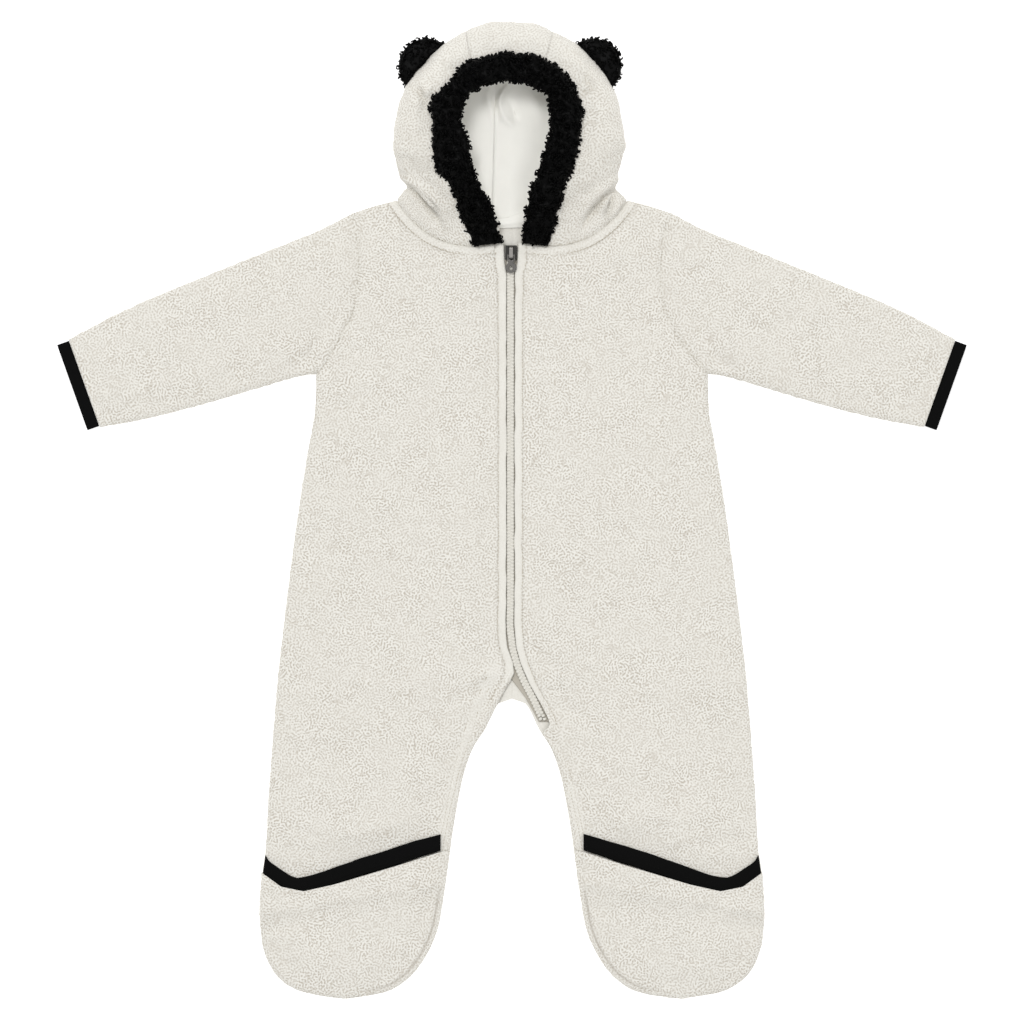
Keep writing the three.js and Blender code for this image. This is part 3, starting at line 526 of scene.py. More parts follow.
def curl_material(colours):
    """Black curly pile: near black, a little gloss on the curls."""
    n = Nodes("curly_pile")
    colour = n.blend(n.noise(260.0, 2.0), rgba(colours.curls, 0.6), rgba(colours.curls, 1.7))
    return n.finished(colour, (n.noise(2200.0, 1.0), 0.4, 0.0003), Roughness=0.4, Specular_IOR_Level=0.05)


def woven_material(colours, key):
    """Woven tape, thread and coil: a fine weave of two crossed sets of lines."""
    n = Nodes(key)
    warp, weft = (n.add("ShaderNodeTexWave", {"Vector": n.place, "Scale": 420.0, "Distortion": 0.3}, "Fac",
                        bands_direction=way) for way in "XY")
    base = getattr(colours, key)
    colour = n.blend(n.noise(150.0, 3.0), rgba(base), rgba(base, 0.86))
    return n.finished(colour, (n.math("MULTIPLY", warp, weft), 0.3, 0.0002), Roughness=0.7, Specular_IOR_Level=0.25)


def metal_material(colours):
    """Dark plated metal: fine scratches in the roughness; painted lighter on top and darker below, a painted highlight
    and painted shade by height.
    """
    n = Nodes("zip_metal_dark")
    marks = n.noise(900.0, 4.0, Distortion=1.0)
    # Painted highlight towards the top and painted shade lower down, by height.
    painted_top_light = n.ramp(n.add("ShaderNodeSeparateXYZ", {0: n.place}, 2), 0.0112, 0.0136)
    colour = n.blend(painted_top_light, rgba(colours.metal, 0.45), rgba(colours.metal, 2.6))
    return n.finished(colour, (marks, 0.12, 0.0001), Roughness=n.ramp(marks, 0.3, 0.7, 0.26, 0.46), Metallic=1.0)


def floor_material(colours):
    """Plain matt floor."""
    n = Nodes("floor_plain")
    colour = n.blend(n.noise(3.0, 1.0), rgba(colours.floor), rgba(colours.floor, 0.995))
    return n.finished(colour, Roughness=1.0, Specular_IOR_Level=0.0, Emission_Strength=0.5)


MAKERS = {"lining": lining_material, "knit": knit_material, "curls": curl_material, "metal": metal_material,
          "floor": floor_material}
WOVEN = {"coil": "zip_cream", "tape": "tape", "thread": "thread"}
MADE = {}


def finish_of(kind, context):
    """The named material, made once."""
    if kind not in MADE:
        colours = context.scene.suit_colours
        if kind == "fleece":
            MADE[kind] = fleece_material(colours, context.scene.suit_sizes.pile_pitch)
        elif kind in WOVEN:
            MADE[kind] = woven_material(colours, WOVEN[kind])
        else:
            MADE[kind] = MAKERS[kind](colours)
    return MADE[kind]


# ---------- properties ----------
class SuitSizes(bpy.types.PropertyGroup):
    """Sizes of the cloth, the pile and the zip."""

    pile_pitch: bpy.props.FloatProperty(
        name="Pile pitch", description="Distance between two ridges of the pile", default=0.0025, unit="LENGTH")
    grain: bpy.props.FloatProperty(
        name="Mesh step", description="Step of the cloth's mesh", default=0.0025, unit="LENGTH")
    curl_length: bpy.props.FloatProperty(
        name="Curl height", description="How far a curl of the trim stands up", default=0.0026, unit="LENGTH")
    curl_pitch: bpy.props.FloatProperty(
        name="Curl pitch", description="Distance between curls", default=0.0023, unit="LENGTH")
    tooth_pitch: bpy.props.FloatProperty(
        name="Coil pitch", description="Distance between two turns of the zip's coil", default=0.0029, unit="LENGTH")
    loft: bpy.props.FloatProperty(
        name="Loft", description="How far the empty cloth stands up between seams", default=0.0032, unit="LENGTH")
    stitch: bpy.props.FloatProperty(
        name="Stitch length", description="Length of a topstitch", default=0.0028, unit="LENGTH")


class SuitColours(bpy.types.PropertyGroup):
    """Colours of the suit's materials."""

    fleece: bpy.props.FloatVectorProperty(
        name="Fleece", description="Tops of the pile", subtype="COLOR", default=(0.725, 0.711, 0.662))
    # Painted shade of the pile: the darker beige in the furrows between its ridges.
    furrow_shade: bpy.props.FloatVectorProperty(
        name="Fleece furrows", description="Between the ridges of the pile", subtype="COLOR",
        default=(0.455, 0.415, 0.355))
    lining: bpy.props.FloatVectorProperty(
        name="Lining", description="Smooth knit inside the hood", subtype="COLOR", default=(0.88, 0.87, 0.82))
    binding: bpy.props.FloatVectorProperty(
        name="Binding", description="Cuffs and flap edges", subtype="COLOR", default=(0.0028, 0.0028, 0.0028))
    curls: bpy.props.FloatVectorProperty(
        name="Curly pile", description="Hood trim and ears", subtype="COLOR", default=(0.0013, 0.0013, 0.0013))
    zip_cream: bpy.props.FloatVectorProperty(
        name="Zip", description="Coil and tapes", subtype="COLOR", default=(0.71, 0.69, 0.63))
    # Painted shade: the tapes show only in the gaps beside the coil, and this colour, darker than the coil's, stands
    # for the shade there.
    tape: bpy.props.FloatVectorProperty(
        name="Zip tapes", description="Woven tapes under the coil", subtype="COLOR", default=(0.46, 0.43, 0.37))
    thread: bpy.props.FloatVectorProperty(
        name="Thread", description="Topstitching", subtype="COLOR", default=(0.50, 0.455, 0.375))
    metal: bpy.props.FloatVectorProperty(
        name="Zip metal", description="Slider and pull", subtype="COLOR", default=(0.075, 0.072, 0.068))
    floor: bpy.props.FloatVectorProperty(
        name="Floor", description="Surface it lies on", subtype="COLOR", default=(0.92, 0.92, 0.92))


# ---------- the body panels ----------
class Panel:
    """A panel's grid in plan with what its height depends on: distance along the row, to the row's end, to
    the outline."""

    def __init__(self, side, inner, outer, sag, step, start=EDGE, end=EDGE):
        length = np.linalg.norm(outer - inner, axis=1)
        middle = int((length.max() - start[-1] - end[-1]) / step)
        self.x, self.y, self.q = spread(inner, outer, sag, start, middle, end)
        self.back_q = self.q[:, -1:] - self.q
        self.side = side
        self.d = inside(self.x, self.y)
        self.sx = side * self.x

    def points(self, z, dx=0.0, dy=0.0):
        return np.stack([self.sx + dx, self.y + dy, z], -1)

    def top(self):
        return upper(self.d)

    def under(self):
        return lower(self.d)


def steps(knots, step):
    """Even steps along a list of keys, as a float index into the list."""
    gaps = np.abs(np.diff(knots))
    out = [np.linspace(i, i + 1, max(2, int(g / step) + 1))[:-1] for i, g in enumerate(gaps)]
    return np.append(np.concatenate(out), len(knots) - 1)


def upper_rows(inner_y, sag, edge, neck, side, step):
    """Rows from the neck point over the shoulder and down the armhole: inner ends, outer ends and sags."""
    k = np.concatenate([np.linspace(0, 2, int(40 / step))[:-1], np.linspace(2, 8, int(145 / step))])
    keys = np.arange(9)
    iy = look(np.stack([keys, inner_y], -1), k)
    sags = np.interp(k, keys, sag)
    shoulder = np.array([neck, (114, 253.2), SHOULDER])
    hole = armhole(side, np.clip((k - 2) / 6, 0, 1))
    ox = np.where(k < 2, np.interp(k, [0, 1, 2], shoulder[:, 0]), hole[:, 0])
    oy = np.where(k < 2, np.interp(k, [0, 1, 2], shoulder[:, 1]), hole[:, 1])
    return np.stack([edge(iy), iy], -1), np.stack([ox, oy], -1), sags


def lower_rows(inner_y, outer_y, edge, step):
    """Rows from under the arm down: inner ends on the edge, outer ends on the side seam."""
    k = steps(outer_y, step)[1:]
    keys = np.arange(len(inner_y))
    iy, oy = np.interp(k, keys, inner_y), np.interp(k, keys, outer_y)
    return np.stack([edge(iy), iy], -1), np.stack([look(SIDE, oy), oy], -1), np.zeros(len(k))


NECK_LINE = neckline(np.linspace(0, 1, 40))
HOLE_LINE = {s: armhole(s, np.linspace(0, 1, 50)) for s in (1, -1)}
LINE_Q = {1: 5.7, -1: 6.7}    # from the front's edge to the line of stitches beside the zip
NECK_Q = 7.0                  # from the neck seam to the line of stitches below it


def front_panel(side, step):
    """A front: rows from the zip's edge to the armhole, the side seam and the hem."""
    table = ZIP_EDGE[side]
    low = table[-1, 0]

    def edge(v):
        return np.where(v > low, straight(table, v), look(INSEAM, v))

    a = upper_rows([223.4, 210, 199, 187, 173, 158, 143, 127, 108], [17.6, 24, 22, 14, 8, 4, 2, 0, 0], edge,
                   (96, 257.8), side, step)
    b = lower_rows([108, 84, -250, -280, -304], [114, 84, -250, -292, -330], edge, step)
    inner, outer, sag = (np.concatenate(v) for v in zip(a, b))
    line = LINE_Q[side]
    return Panel(side, inner, outer, sag, step,
                 (0, 0.35, 0.9, 1.7, 2.9, line - 1.8, line - 0.9, line, line + 0.9, line + 1.9, line + 3.4), EDGE)


def front_height(p, loft):
    """Top of a front: the outline's round edge, loft between the seams, a pressed strip by the zip, grooves at seams
    and stitch lines, lumps and folds."""
    x, y, sx, q = p.x, p.y, p.sx, p.q
    neck = to_line(x, y, NECK_LINE)
    hole = np.where(y > 100, to_line(x, y, HOLE_LINE[p.side]), 99)
    low = -172 if p.side > 0 else -152
    zipped = smooth((y - low) / 24)
    inseam = 1 - smooth((y + 150) / 20)
    line = LINE_Q[p.side]
    open_cloth = smooth((y - straight(FLAP_TOP, x) - 13) / 26)
    z = p.top()
    rise = smooth((p.d - 2) / 36) * (1 - zipped * (1 - smooth((q - 7) / 26))) * (0.35 + 0.65 * smooth(hole / 20))
    rise *= (0.3 + 0.7 * smooth((neck - 5) / 24)) * open_cloth
    z = z + loft * rise * (1 + 0.25 * waves(sx, y, 0, 60, 140, 3))
    z -= zipped * 0.8 * (1 - smooth((q - line + 0.5) / 1.6))
    z -= zipped * 1.2 * np.exp(-((q - line) / 0.85) ** 2)
    z -= zipped * 1.1 * (1 - dome(q, 1.8))
    z -= 0.8 * np.exp(-(neck / 1.5) ** 2) + 1.1 * np.exp(-((neck - NECK_Q) / 1.0) ** 2)
    z -= 1.5 * np.exp(-(hole / 2.0) ** 2)
    z -= 0.6 * np.exp(-((p.d - 6.2) / 1.5) ** 2) * smooth((100 - y) / 20) * (x > 100) * open_cloth
    calm = smooth((q - 7) / 6) * smooth(p.d / 8) * open_cloth
    z += calm * (0.30 * waves(sx, y, 0, 7, 15, 11) + 0.38 * waves(sx, y, 0, 22, 60, 12))
    z += (smooth((p.d + 1.5) / 7) * folds(sx, y, BODY_FOLDS) * (1 - 0.85 * zipped * (1 - smooth((q - 4) / 8)))
          * open_cloth)
    bands = [to_line(sx, y, seam) for seam in SEAM_LINES[p.side]]
    z -= sum(0.75 * np.exp(-(d / 0.95) ** 2) for d in bands) * open_cloth
    between = smooth((bands[0] + bands[1]) / 3) * (1 - smooth((bands[0] + bands[1] - 7) / 4))
    pressed = np.maximum(zipped * (1 - smooth((q - line + 0.2) / 1.6)), 0.75 * (1 - smooth((neck - 6) / 1.6)))
    # Painted shade along the lines of stitches beside the zip and below the neck seam, given as marks below 0.
    seam_groove_shade = np.maximum(0.38 * zipped * np.exp(-((q - line) / 0.8) ** 2),
                      0.28 * np.exp(-((neck - NECK_Q) / 0.8) ** 2) * (q > line - 1))
    return z, np.where(seam_groove_shade > 0.12, -seam_groove_shade, np.maximum(pressed, 0.7 * between))


def back_panel(side, step):
    """A back: rows from the middle to the armhole, the side seam and, below the crotch, the inseam and toe."""

    def edge(v):
        return np.where(v > -156, 0.0, look(INSEAM, v))

    a = upper_rows([235.7, 224, 206, 197, 180, 162, 145, 127, 108], np.zeros(9), edge, (96.5, 252.5), side, step)
    b = lower_rows([108, 84, -155.9], [114, 84, -155.9], edge, step)
    c = lower_rows([-156.1, -364], [-156.1, -364], edge, step)
    toe = -364 - 40.7 * np.sin(np.linspace(0, 1, int(44 / step)) * np.pi / 2)[1:]
    d = (np.stack([edge(toe), toe], -1), np.stack([look(SIDE, toe), toe], -1), np.zeros(len(toe)))
    inner, outer, sag = (np.concatenate(v) for v in zip(a, b, c, d))
    return Panel(side, inner, outer, sag, step)


def seat(name, outer, inner, kind, slot, context, size, ring=False, flat=None, rests=("floor",), cloth=None):
    """Makes a cloth wall, rides it on the suit and puts it in place of its node. Its flat size is not used."""
    if cloth is None and kind == "fleece":
        cloth = spread_out(outer)
    obj = wall(name, outer, inner, finish_of(kind, context), slot, ring, flat, cloth)
    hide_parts(name.replace("cloth_", ""))
    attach(obj, "suit")
    return obj


class SUIT_OT_fronts(bpy.types.Operator):
    """Builds the two fronts: pile fleece with a pressed strip beside the zip."""

    bl_idname = "suit.fronts"
    bl_label = "Fronts"

    def execute(self, context):
        sizes = context.scene.suit_sizes
        for side, word in ((1, "left"), (-1, "right")):
            p = front_panel(side, sizes.grain / MM)
            z, pressed = front_height(p, sizes.loft / MM)
            lift = (1 - smooth((p.q - 12) / 3)) * smooth((p.y + 186) / 6)
            low = np.minimum(MID + GAP + lift, z - 0.6)
            ripple = (0.4 * waves(p.sx * 0 + side * 9, p.y, 0, 9, 40, 5) * (1 - smooth((p.q - 8) / 6)) * (p.y > -200)
                      * (p.y < 200))
            close = (-0.4 if side > 0 else 1.0) * smooth((p.y - 196) / 8) * (1 - smooth((p.q - 2) / 12))
            close = close - (side > 0) * 0.8 * smooth((p.y + 150) / 30) * (1 - smooth((p.q - 1) / 4.4))
            if side < 0:
                far_in = np.interp(p.y, [-160, -150, -142, -134, -128, -118, -100], [0, 1, 3.4, 5.2, 2.2, 1.4, 0])
                close = close + far_in * (1 - smooth((p.q - 1) / 22))
            else:
                reach = (straight(ZIP_EDGE[1], p.y) - look(INSEAM, p.y) - 0.5) * (p.y > -207) * smooth((-177 - p.y) / 9)
                close = close - np.clip(reach, 0, 9) * (1 - smooth((p.q - 1) / 22))
            ripple = ripple + close
            fuzz = 0.3 * waves(p.sx, p.y, 0, 4.5, 9, 21) * (1 - smooth(p.back_q / 3)) * (p.y < 110)
            outer, inner = (p.points(v, ripple + fuzz) for v in (z, low))
            seat(f"cloth_front_{word}", outer, inner, "fleece", "fleece", context, (0.213, 0.545, 0.0852), flat=pressed, rests=[f"back_{word}"])
        return {"FINISHED"}


class SUIT_OT_backs(bpy.types.Operator):
    """Builds the two backs, down to the soles of the feet: pile fleece, flat on what it lies on."""

    bl_idname = "suit.backs"
    bl_label = "Backs"

    def execute(self, context):
        step = context.scene.suit_sizes.grain / MM * 1.45
        for side, word in ((1, "left"), (-1, "right")):
            p = back_panel(side, step)
            lift = np.maximum(0, folds(p.sx, p.y, BACK_FOLDS) + 0.25 * waves(p.sx, p.y, 0, 14, 50, 31))
            lift += 1.1 * np.exp(-(p.q / 1.8) ** 2) * (p.y > -150) + 0.2 * (1 + waves(p.sx, p.y, 0, 7, 15, 32))
            lift += 0.9 * np.exp(-((p.d - 6.2) / 1.6) ** 2)
            z = np.minimum(p.under() + np.maximum(lift, 0) * smooth((p.d + 1) / 5),
                           MID - GAP - 1.2 * smooth(p.d / 4) - 0.5)
            fuzz = 0.3 * waves(p.sx, p.y, 0, 4.5, 9, 22) * (1 - smooth(p.back_q / 3)) * (p.y < 110)
            outer, inner = (p.points(v, fuzz) for v in (z, np.full_like(z, MID - GAP)))
            seat(f"cloth_back_{word}", outer, inner, "fleece", "fleece", context, (0.213, 0.658, 0.1015))
        return {"FINISHED"}


# ---------- sleeves and cuffs ----------
def sleeve_rows(side, step):
    """Rows of a sleeve from the armhole to the cuff: upper ends, under ends and sags."""
    at, keys, cols = sleeve_edges(int(238 / step))
    sag = np.maximum(look(np.stack([at, SLEEVE[:, 4] + 2.4 * side * (SLEEVE[:, 4] > 11)], -1), keys), 0)
    return keys / at[-1], np.stack(cols[:2], -1), np.stack(cols[2:], -1), sag


class SUIT_OT_sleeves(bpy.types.Operator):
    """Builds the two sleeves, each a flattened tube of pile fleece."""

    bl_idname = "suit.sleeves"
    bl_label = "Sleeves"

    def execute(self, context):
        sizes = context.scene.suit_sizes
        step = sizes.grain / MM
        for side, word in ((1, "left"), (-1, "right")):
            share, top, under, sag = sleeve_rows(side, step)
            length = row_length(top, under, sag)
            q = columns(length, EDGE, int(length.max() / step), EDGE)
            p = bowed(top[:, None], under[:, None], sag[:, None], q / length[:, None])
            x, y, d = p[..., 0], p[..., 1], inside(p[..., 0], p[..., 1])
            sx = side * x
            seam = to_line(x, y, HOLE_LINE[side])
            rise = (smooth((d - 1) / 26) * (0.3 + 0.7 * smooth(seam / 20))
                    * (1 - 0.55 * smooth((share[:, None] - 0.86) / 0.14)))
            lumps = 0.30 * waves(sx, y, 0, 7, 15, 41) + 0.35 * waves(sx, y, 0, 22, 60, 42)
            z = upper(d) + sizes.loft / MM * 0.9 * rise
            z += smooth(d / 8) * (lumps + folds(sx, y, SLEEVE_FOLDS)) - 1.4 * np.exp(-(seam / 2.2) ** 2)
            z -= 0.5 * np.exp(-(((1 - share[:, None]) * 237 - 4) / 1.6) ** 2)
            low = lower(d)
            low += smooth(d / 5) * np.maximum(0, 0.3 + 0.3 * waves(sx, y, 0, 9, 40, 43) + folds(sx, y, BACK_FOLDS))
            low = np.maximum(low + 0.9 * np.exp(-(seam / 2.2) ** 2), 0.02)
            fuzz = 0.3 * waves(sx, y, 0, 4.5, 9, 44) * (1 - smooth(np.minimum(q, length[:, None] - q) / 3))
            outer = np.concatenate([np.stack([sx, y + fuzz, z], -1), np.stack([sx, y + fuzz, low], -1)[:, ::-1]], 1)
            tight = 5.2 + q * (length[:, None] - 10.4) / length[:, None]
            pi = bowed(top[:, None], under[:, None], sag[:, None], tight / length[:, None])
            ix, iy = side * pi[..., 0], pi[..., 1]
            inner = np.concatenate([np.stack([ix, iy, np.full_like(ix, MID + GAP)], -1),
                                    np.stack([ix, iy, np.full_like(ix, MID - GAP)], -1)[:, ::-1]], 1)
            outer, inner = (tucked(g, (-side * 1.3, 0)) for g in (outer, inner))
            seat(f"cloth_sleeve_{word}", outer, inner, "fleece", "fleece", context, (0.27, 0.238, 0.046), ring=True,
                 rests=["floor"])
        return {"FINISHED"}


class SUIT_OT_cuffs(bpy.types.Operator):
    """Builds the two knit cuffs, with fine ribs along the sleeve."""

    bl_idname = "suit.cuffs"
    bl_label = "Cuffs"

    def execute(self, context):
        a, b = SLEEVE[-1, :2], SLEEVE[-1, 2:4]
        length = np.linalg.norm(b - a)
        along = (b - a) / length
        out = np.array([-along[1], along[0]])
        n = 150
        for side, word in ((1, "left"), (-1, "right")):
            grids = []
            far = np.concatenate([[0.4, 0.7, 1.2], np.linspace(2, 8.8, 9), [9.5, 10.1, 10.6]])
            for inset, half, edge in ((1.2, 4.6, 0.9), (3.8, 1.9, 0.3)):
                wide = length - 2 * inset
                s = np.linspace(0, 1, n)
                q = wide * (0.5 - 0.5 * np.cos(np.pi * s)) * 0.35 + wide * s * 0.65
                rib = 0.16 * np.sin(q / 1.25 * 2 * np.pi) if edge > 0.5 else 0 * q
                rounded = edge + (half - edge) * dome(np.minimum(q, wide - q), half) + rib
                end = 0.8 * np.exp(-((far - 0.4) / 0.6) ** 2) + 0.9 * np.exp(-((far - 10.6) / 0.6) ** 2)
                end = end * (edge > 0.5)
                wave = 0.25 * waves(far[:, None] * 0 + q[None, :], far[:, None], side * 50.0, 12, 40, 51)
                z = np.maximum(rounded[None, :] - end[:, None] + wave * (edge > 0.5), 0.25)
                px = a[0] + along[0] * (inset + q)[None, :] + out[0] * far[:, None]
                py = a[1] + along[1] * (inset + q)[None, :] + out[1] * far[:, None]
                up = np.stack([side * px, py, MID + z], -1)
                down = np.stack([side * px, py, MID - np.minimum(z, MID - 0.3)], -1)[:, ::-1]
                grids.append(np.concatenate([up, down], 1))
            seat(f"cloth_cuff_{word}", *grids, "knit", "knit_binding", context, (0.150, 0.0115, None), ring=True,
                 rests=[f"sleeve_{word}"])
        return {"FINISHED"}


# ---------- foot flaps and their bindings ----------
def along_line(line, share):
    """Points at shares of the length of a line of straight pieces."""
    line = np.asarray(line, float)
    at = distances(line)
    d = np.clip(share, 0, 1) * at[-1]
    return np.stack([np.interp(d, at, line[:, 0]), np.interp(d, at, line[:, 1])], -1)


class SUIT_OT_flaps(bpy.types.Operator):
    """Builds the two foot flaps: fleece from the binding over the instep round the toe."""

    bl_idname = "suit.flaps"
    bl_label = "Foot flaps"

    def execute(self, context):
        sizes = context.scene.suit_sizes
        step = sizes.grain / MM
        for side, word in ((1, "left"), (-1, "right")):
            iy = np.array([-308, -322, -342, -364.0])
            oy = np.array([-334, -344, -352, -364.0])
            k = np.concatenate([np.linspace(-1, 0, 12)[:-1], np.linspace(0, 3, int(52 / step))])
            yi, yo = np.interp(np.maximum(k, 0), range(4), iy), np.interp(np.maximum(k, 0), range(4), oy)
            toe = -364 - 40.7 * np.sin(np.linspace(0, 1, int(60 / step)) * np.pi / 2)[1:]
            yi, yo, k = np.append(yi, toe), np.append(yo, toe), np.append(k, np.full(len(toe), 3.0))
            inner, outer = np.stack([look(INSEAM, yi), yi], -1), np.stack([look(SIDE, yo), yo], -1)
            length = np.linalg.norm(outer - inner, axis=1)
            q = columns(length, (0, 0.35, 0.9, 1.7, 2.7, 3.7, 4.5, 5.3, 6.4), int(length.max() / step), EDGE)
            t = q / length[:, None]
            p = inner[:, None] + (outer - inner)[:, None] * t[..., None]
            rim = along_line(FLAP_TOP, t)
            mixed = np.clip(-k, 0, 1)[:, None, None]
            p = p * (1 - mixed) + rim * mixed
            x, y = p[..., 0], p[..., 1]
            sx, d = side * x, inside(x, y)
            over = np.interp(k, [-1, 0, 0.6, 1.3, 3], [1, 1, 0.4, 0, 0])[:, None]
            low = (MID + GAP) * (1 - over) + (upper(d) + 1.2) * over
            strip = smooth((61 - x) / 5) * smooth((y + 330) / 45)
            thick = 0.55 + 4.65 * dome(d, MID) * (1 - 0.9 * strip)
            low = low - 0.6 * strip * over
            z = low + thick + sizes.loft / MM * 1.1 * smooth((d - 1) / 30) * (1 - 0.6 * over)
            z += smooth(d / 8) * (0.3 * waves(sx, y, 0, 7, 15, 61) + 0.4 * waves(sx, y, 0, 22, 60, 62)
                                  + folds(sx, y, FOOT_FOLDS))
            # The seam's groove below the binding: sunk into the top, and given as marks below 0 for painted shade in
            # it.
            seam_groove_shade = np.exp(-((d - 4.5) / 0.9) ** 2) * (1 - smooth((x - 90) / 50)) * (1 - over) * smooth((x - 40) / 5)
            z -= 1.2 * seam_groove_shade
            z -= 0.4 * np.exp(-((d - 6.4) / 1.5) ** 2) * smooth((x - 150) / 30)
            fuzz = 0.3 * waves(sx, y, 0, 4.5, 9, 63) * (1 - smooth(d / 3))
            outer, inner = (np.stack([sx + fuzz, y + fuzz, v], -1) for v in (z, low))
            seat(f"cloth_foot_flap_{word}", outer, inner, "fleece", "fleece", context, (0.155, 0.115, 0.0138),
                 flat=-0.6 * seam_groove_shade, rests=[f"back_{word}", f"front_{word}"])
        return {"FINISHED"}


# A flap binding's lower and upper edges, x, y, from the inseam to the corner and from the corner to the side.
BINDING_LOW = [[(59.3, -281.8), (93.8, -292.9), (127.1, -303.5), (159.4, -313.2), (172, -316), (177.6, -316.4)],
               [(177.6, -316.4), (182, -315.4), (188.6, -312.4), (199.4, -306), (206.8, -300.4)]]
BINDING_HIGH = [[(59.3, -267.9), (93.8, -278.0), (127.1, -288.7), (159.4, -300.1), (172.7, -303.6), (178.3, -304.3)],
                [(178.3, -304.3), (183.3, -302.4), (193.8, -295.9), (201.2, -290.6), (204.6, -285.6)]]


class SUIT_OT_bindings(bpy.types.Operator):
    """Builds the knit bindings on the foot flaps' upper edges."""

    bl_idname = "suit.bindings"
    bl_label = "Flap bindings"

    def execute(self, context):
        for side, word in ((1, "left"), (-1, "right")):
            t1, t2 = np.linspace(0, 1, 130), np.linspace(0, 1, 42)[1:]
            low_edge = np.concatenate([eased(BINDING_LOW[0], t1), eased(BINDING_LOW[1], t2)])
            high_edge = np.concatenate([eased(BINDING_HIGH[0], t1), eased(BINDING_HIGH[1], t2)])
            far = distances(low_edge)
            a = np.linspace(0, 1, 24)
            place = low_edge[:, None] * (1 - a[:, None]) + high_edge[:, None] * a[:, None]
            x, y = place[..., 0], place[..., 1]
            w = a * 13
            base = np.max([upper(inside(x[:, i], y[:, i])) for i in (0, 4, 8, 12, 16, 20, 23)], 0)[:, None] + 0.75
            base = np.pad(base, ((4, 4), (0, 0)), mode="edge")
            base = sum(base[i:i + len(x)] for i in range(9)) / 9
            d = inside(x, y)
            thick = 0.55 + 2.6 * dome(d, MID)
            body = np.minimum(dome(w, 1.6), dome(13 - w, 1.6)) * 0.5 + 0.5
            rib = 0.10 * np.sin(far / 1.3 * 2 * np.pi)[:, None] + 0.2 * waves(x * side, y, 0, 12, 30, 71)
            hem = 0.3 * np.exp(-((w - 2.6) / 0.7) ** 2)
            top = base + thick * body[None, :] + rib - hem
            edge = 0.3 * waves(side * x, y, 0, 14, 44, 72)
            outer = np.stack([side * x, y + edge, top], -1)
            inner = np.stack([side * x, y + edge, base + 0 * x], -1)
            seat(f"cloth_flap_binding_{word}", outer, inner, "knit", "knit_binding", context, (0.162, 0.013, None),
                 rests=[f"front_{word}", f"foot_flap_{word}"])
        return {"FINISHED"}


# ---------- the hood ----------
class Hood:
    """Rows of the hood from w = -12, the right of the neck, over 0, the crown, to 12; smooth through the
    table's rows."""

    def __init__(self, w):
        self.w = np.asarray(w, float)
        k = CROWN - np.abs(self.w)
        keyed = np.column_stack([np.arange(len(HOOD)), HOOD])
        rx, ry, ox, oy, self.sag, self.h = (look(keyed, k, i) for i in range(1, 7))
        self.side = np.where(self.w < 0, -1.0, 1.0)
        self.k, self.ramp = k, np.clip(k / 3, 0, 1)
        self.sag = np.maximum(self.sag, 0)
        rx, ox = np.maximum(rx, 0), np.maximum(ox, 0)
        self.rim, self.out = np.stack([rx, ry], -1), np.stack([ox, oy], -1)
        self.length = np.linalg.norm(self.out - self.rim, axis=1)
        self.flat = self.length - self.h / 2

    def place(self, q, z):
        """Points at distance q along each row from the rim, at height z; both are grids of rows by columns."""
        t = q / self.length[:, None]
        p = bowed(self.rim[:, None], self.out[:, None], self.sag[:, None], t)
        lean = self.ramp[:, None] * (LEAN_RIM + (LEAN_OUT - LEAN_RIM) * np.clip(t, 0, 1))
        return np.stack([self.side[:, None] * p[..., 0] + lean, p[..., 1], z], -1)

    def section(self, foot, depth, n_top, n_roll, n_floor, crown=0.0):
        """Over the top, round the roll of half the height's radius, and along the floor to the foot, at a depth
        inside the surface."""
        i = np.arange(n_top)[None, :] / n_top
        r = self.h[:, None] / 2
        start = np.clip((self.k - 1) * 2, 0, 5)[:, None]
        top_q = start + (self.flat[:, None] - start) * i
        top_z = self.h[:, None] - depth + crown * np.sin(np.pi * i) + 0 * r
        a = np.pi * np.arange(n_roll + 1)[None, :] / n_roll
        roll_q, roll_z = self.flat[:, None] + (r - depth) * np.sin(a), r + (r - depth) * np.cos(a)
        upper = self.place(np.concatenate([top_q, roll_q], 1), np.concatenate([top_z, roll_z], 1))
        turn = upper[:, -1:, :2]
        f = (np.arange(n_floor)[None, :, None] + 1) / n_floor
        low = turn + (foot[:, None, :] - turn) * f
        return np.concatenate([upper, np.concatenate([low, np.full(low.shape[:2] + (1,), depth)], -1)], 1)


def unrolled(grid):
    """A place on the cloth for each point of the hood: the plan over the top, then on outwards by the length
    round the roll."""
    steps_long = np.linalg.norm(np.diff(grid, axis=1, prepend=grid[:, :1]), axis=-1)
    arc = np.cumsum(steps_long, axis=1)
    out = grid[:, 3, :2] - grid[:, 0, :2]
    out /= np.linalg.norm(out, axis=-1, keepdims=True)
    return grid[:, :1, :2] + out[:, None] * arc[..., None]


def hood_feet(side, k):
    """Where the rows of a hood side meet the strip's edge on the floor."""
    low = np.array([side * 37.9, 236.7 + 0.174 * 37.5])
    seam = Hood([side * (CROWN - STRIP_ROW)])
    turn = seam.place(seam.flat[:, None], np.zeros((1, 1)))[0, 0, :2]
    high = low + (turn - low) * 0.95
    return low + (high - low) * (k / STRIP_ROW)[:, None]


def hood_dress(grid, seams):
    """How far the hood's cloth stands out of its form: folds and lumps, less the grooves along the sewn edges."""
    x, y, z = grid[..., 0], grid[..., 1], grid[..., 2]
    face = smooth((z - 3) / 9)
    lumps = 0.35 * waves(x, y, z, 8, 16, 81) + 0.8 * waves(x, y, z, 24, 60, 82)
    return (face * (1.35 * folds(x, y, HOOD_FOLDS) + lumps)
            + (1 - face) * 0.3 * waves(x, y, z, 10, 40, 83) * (z > 2) - seams)


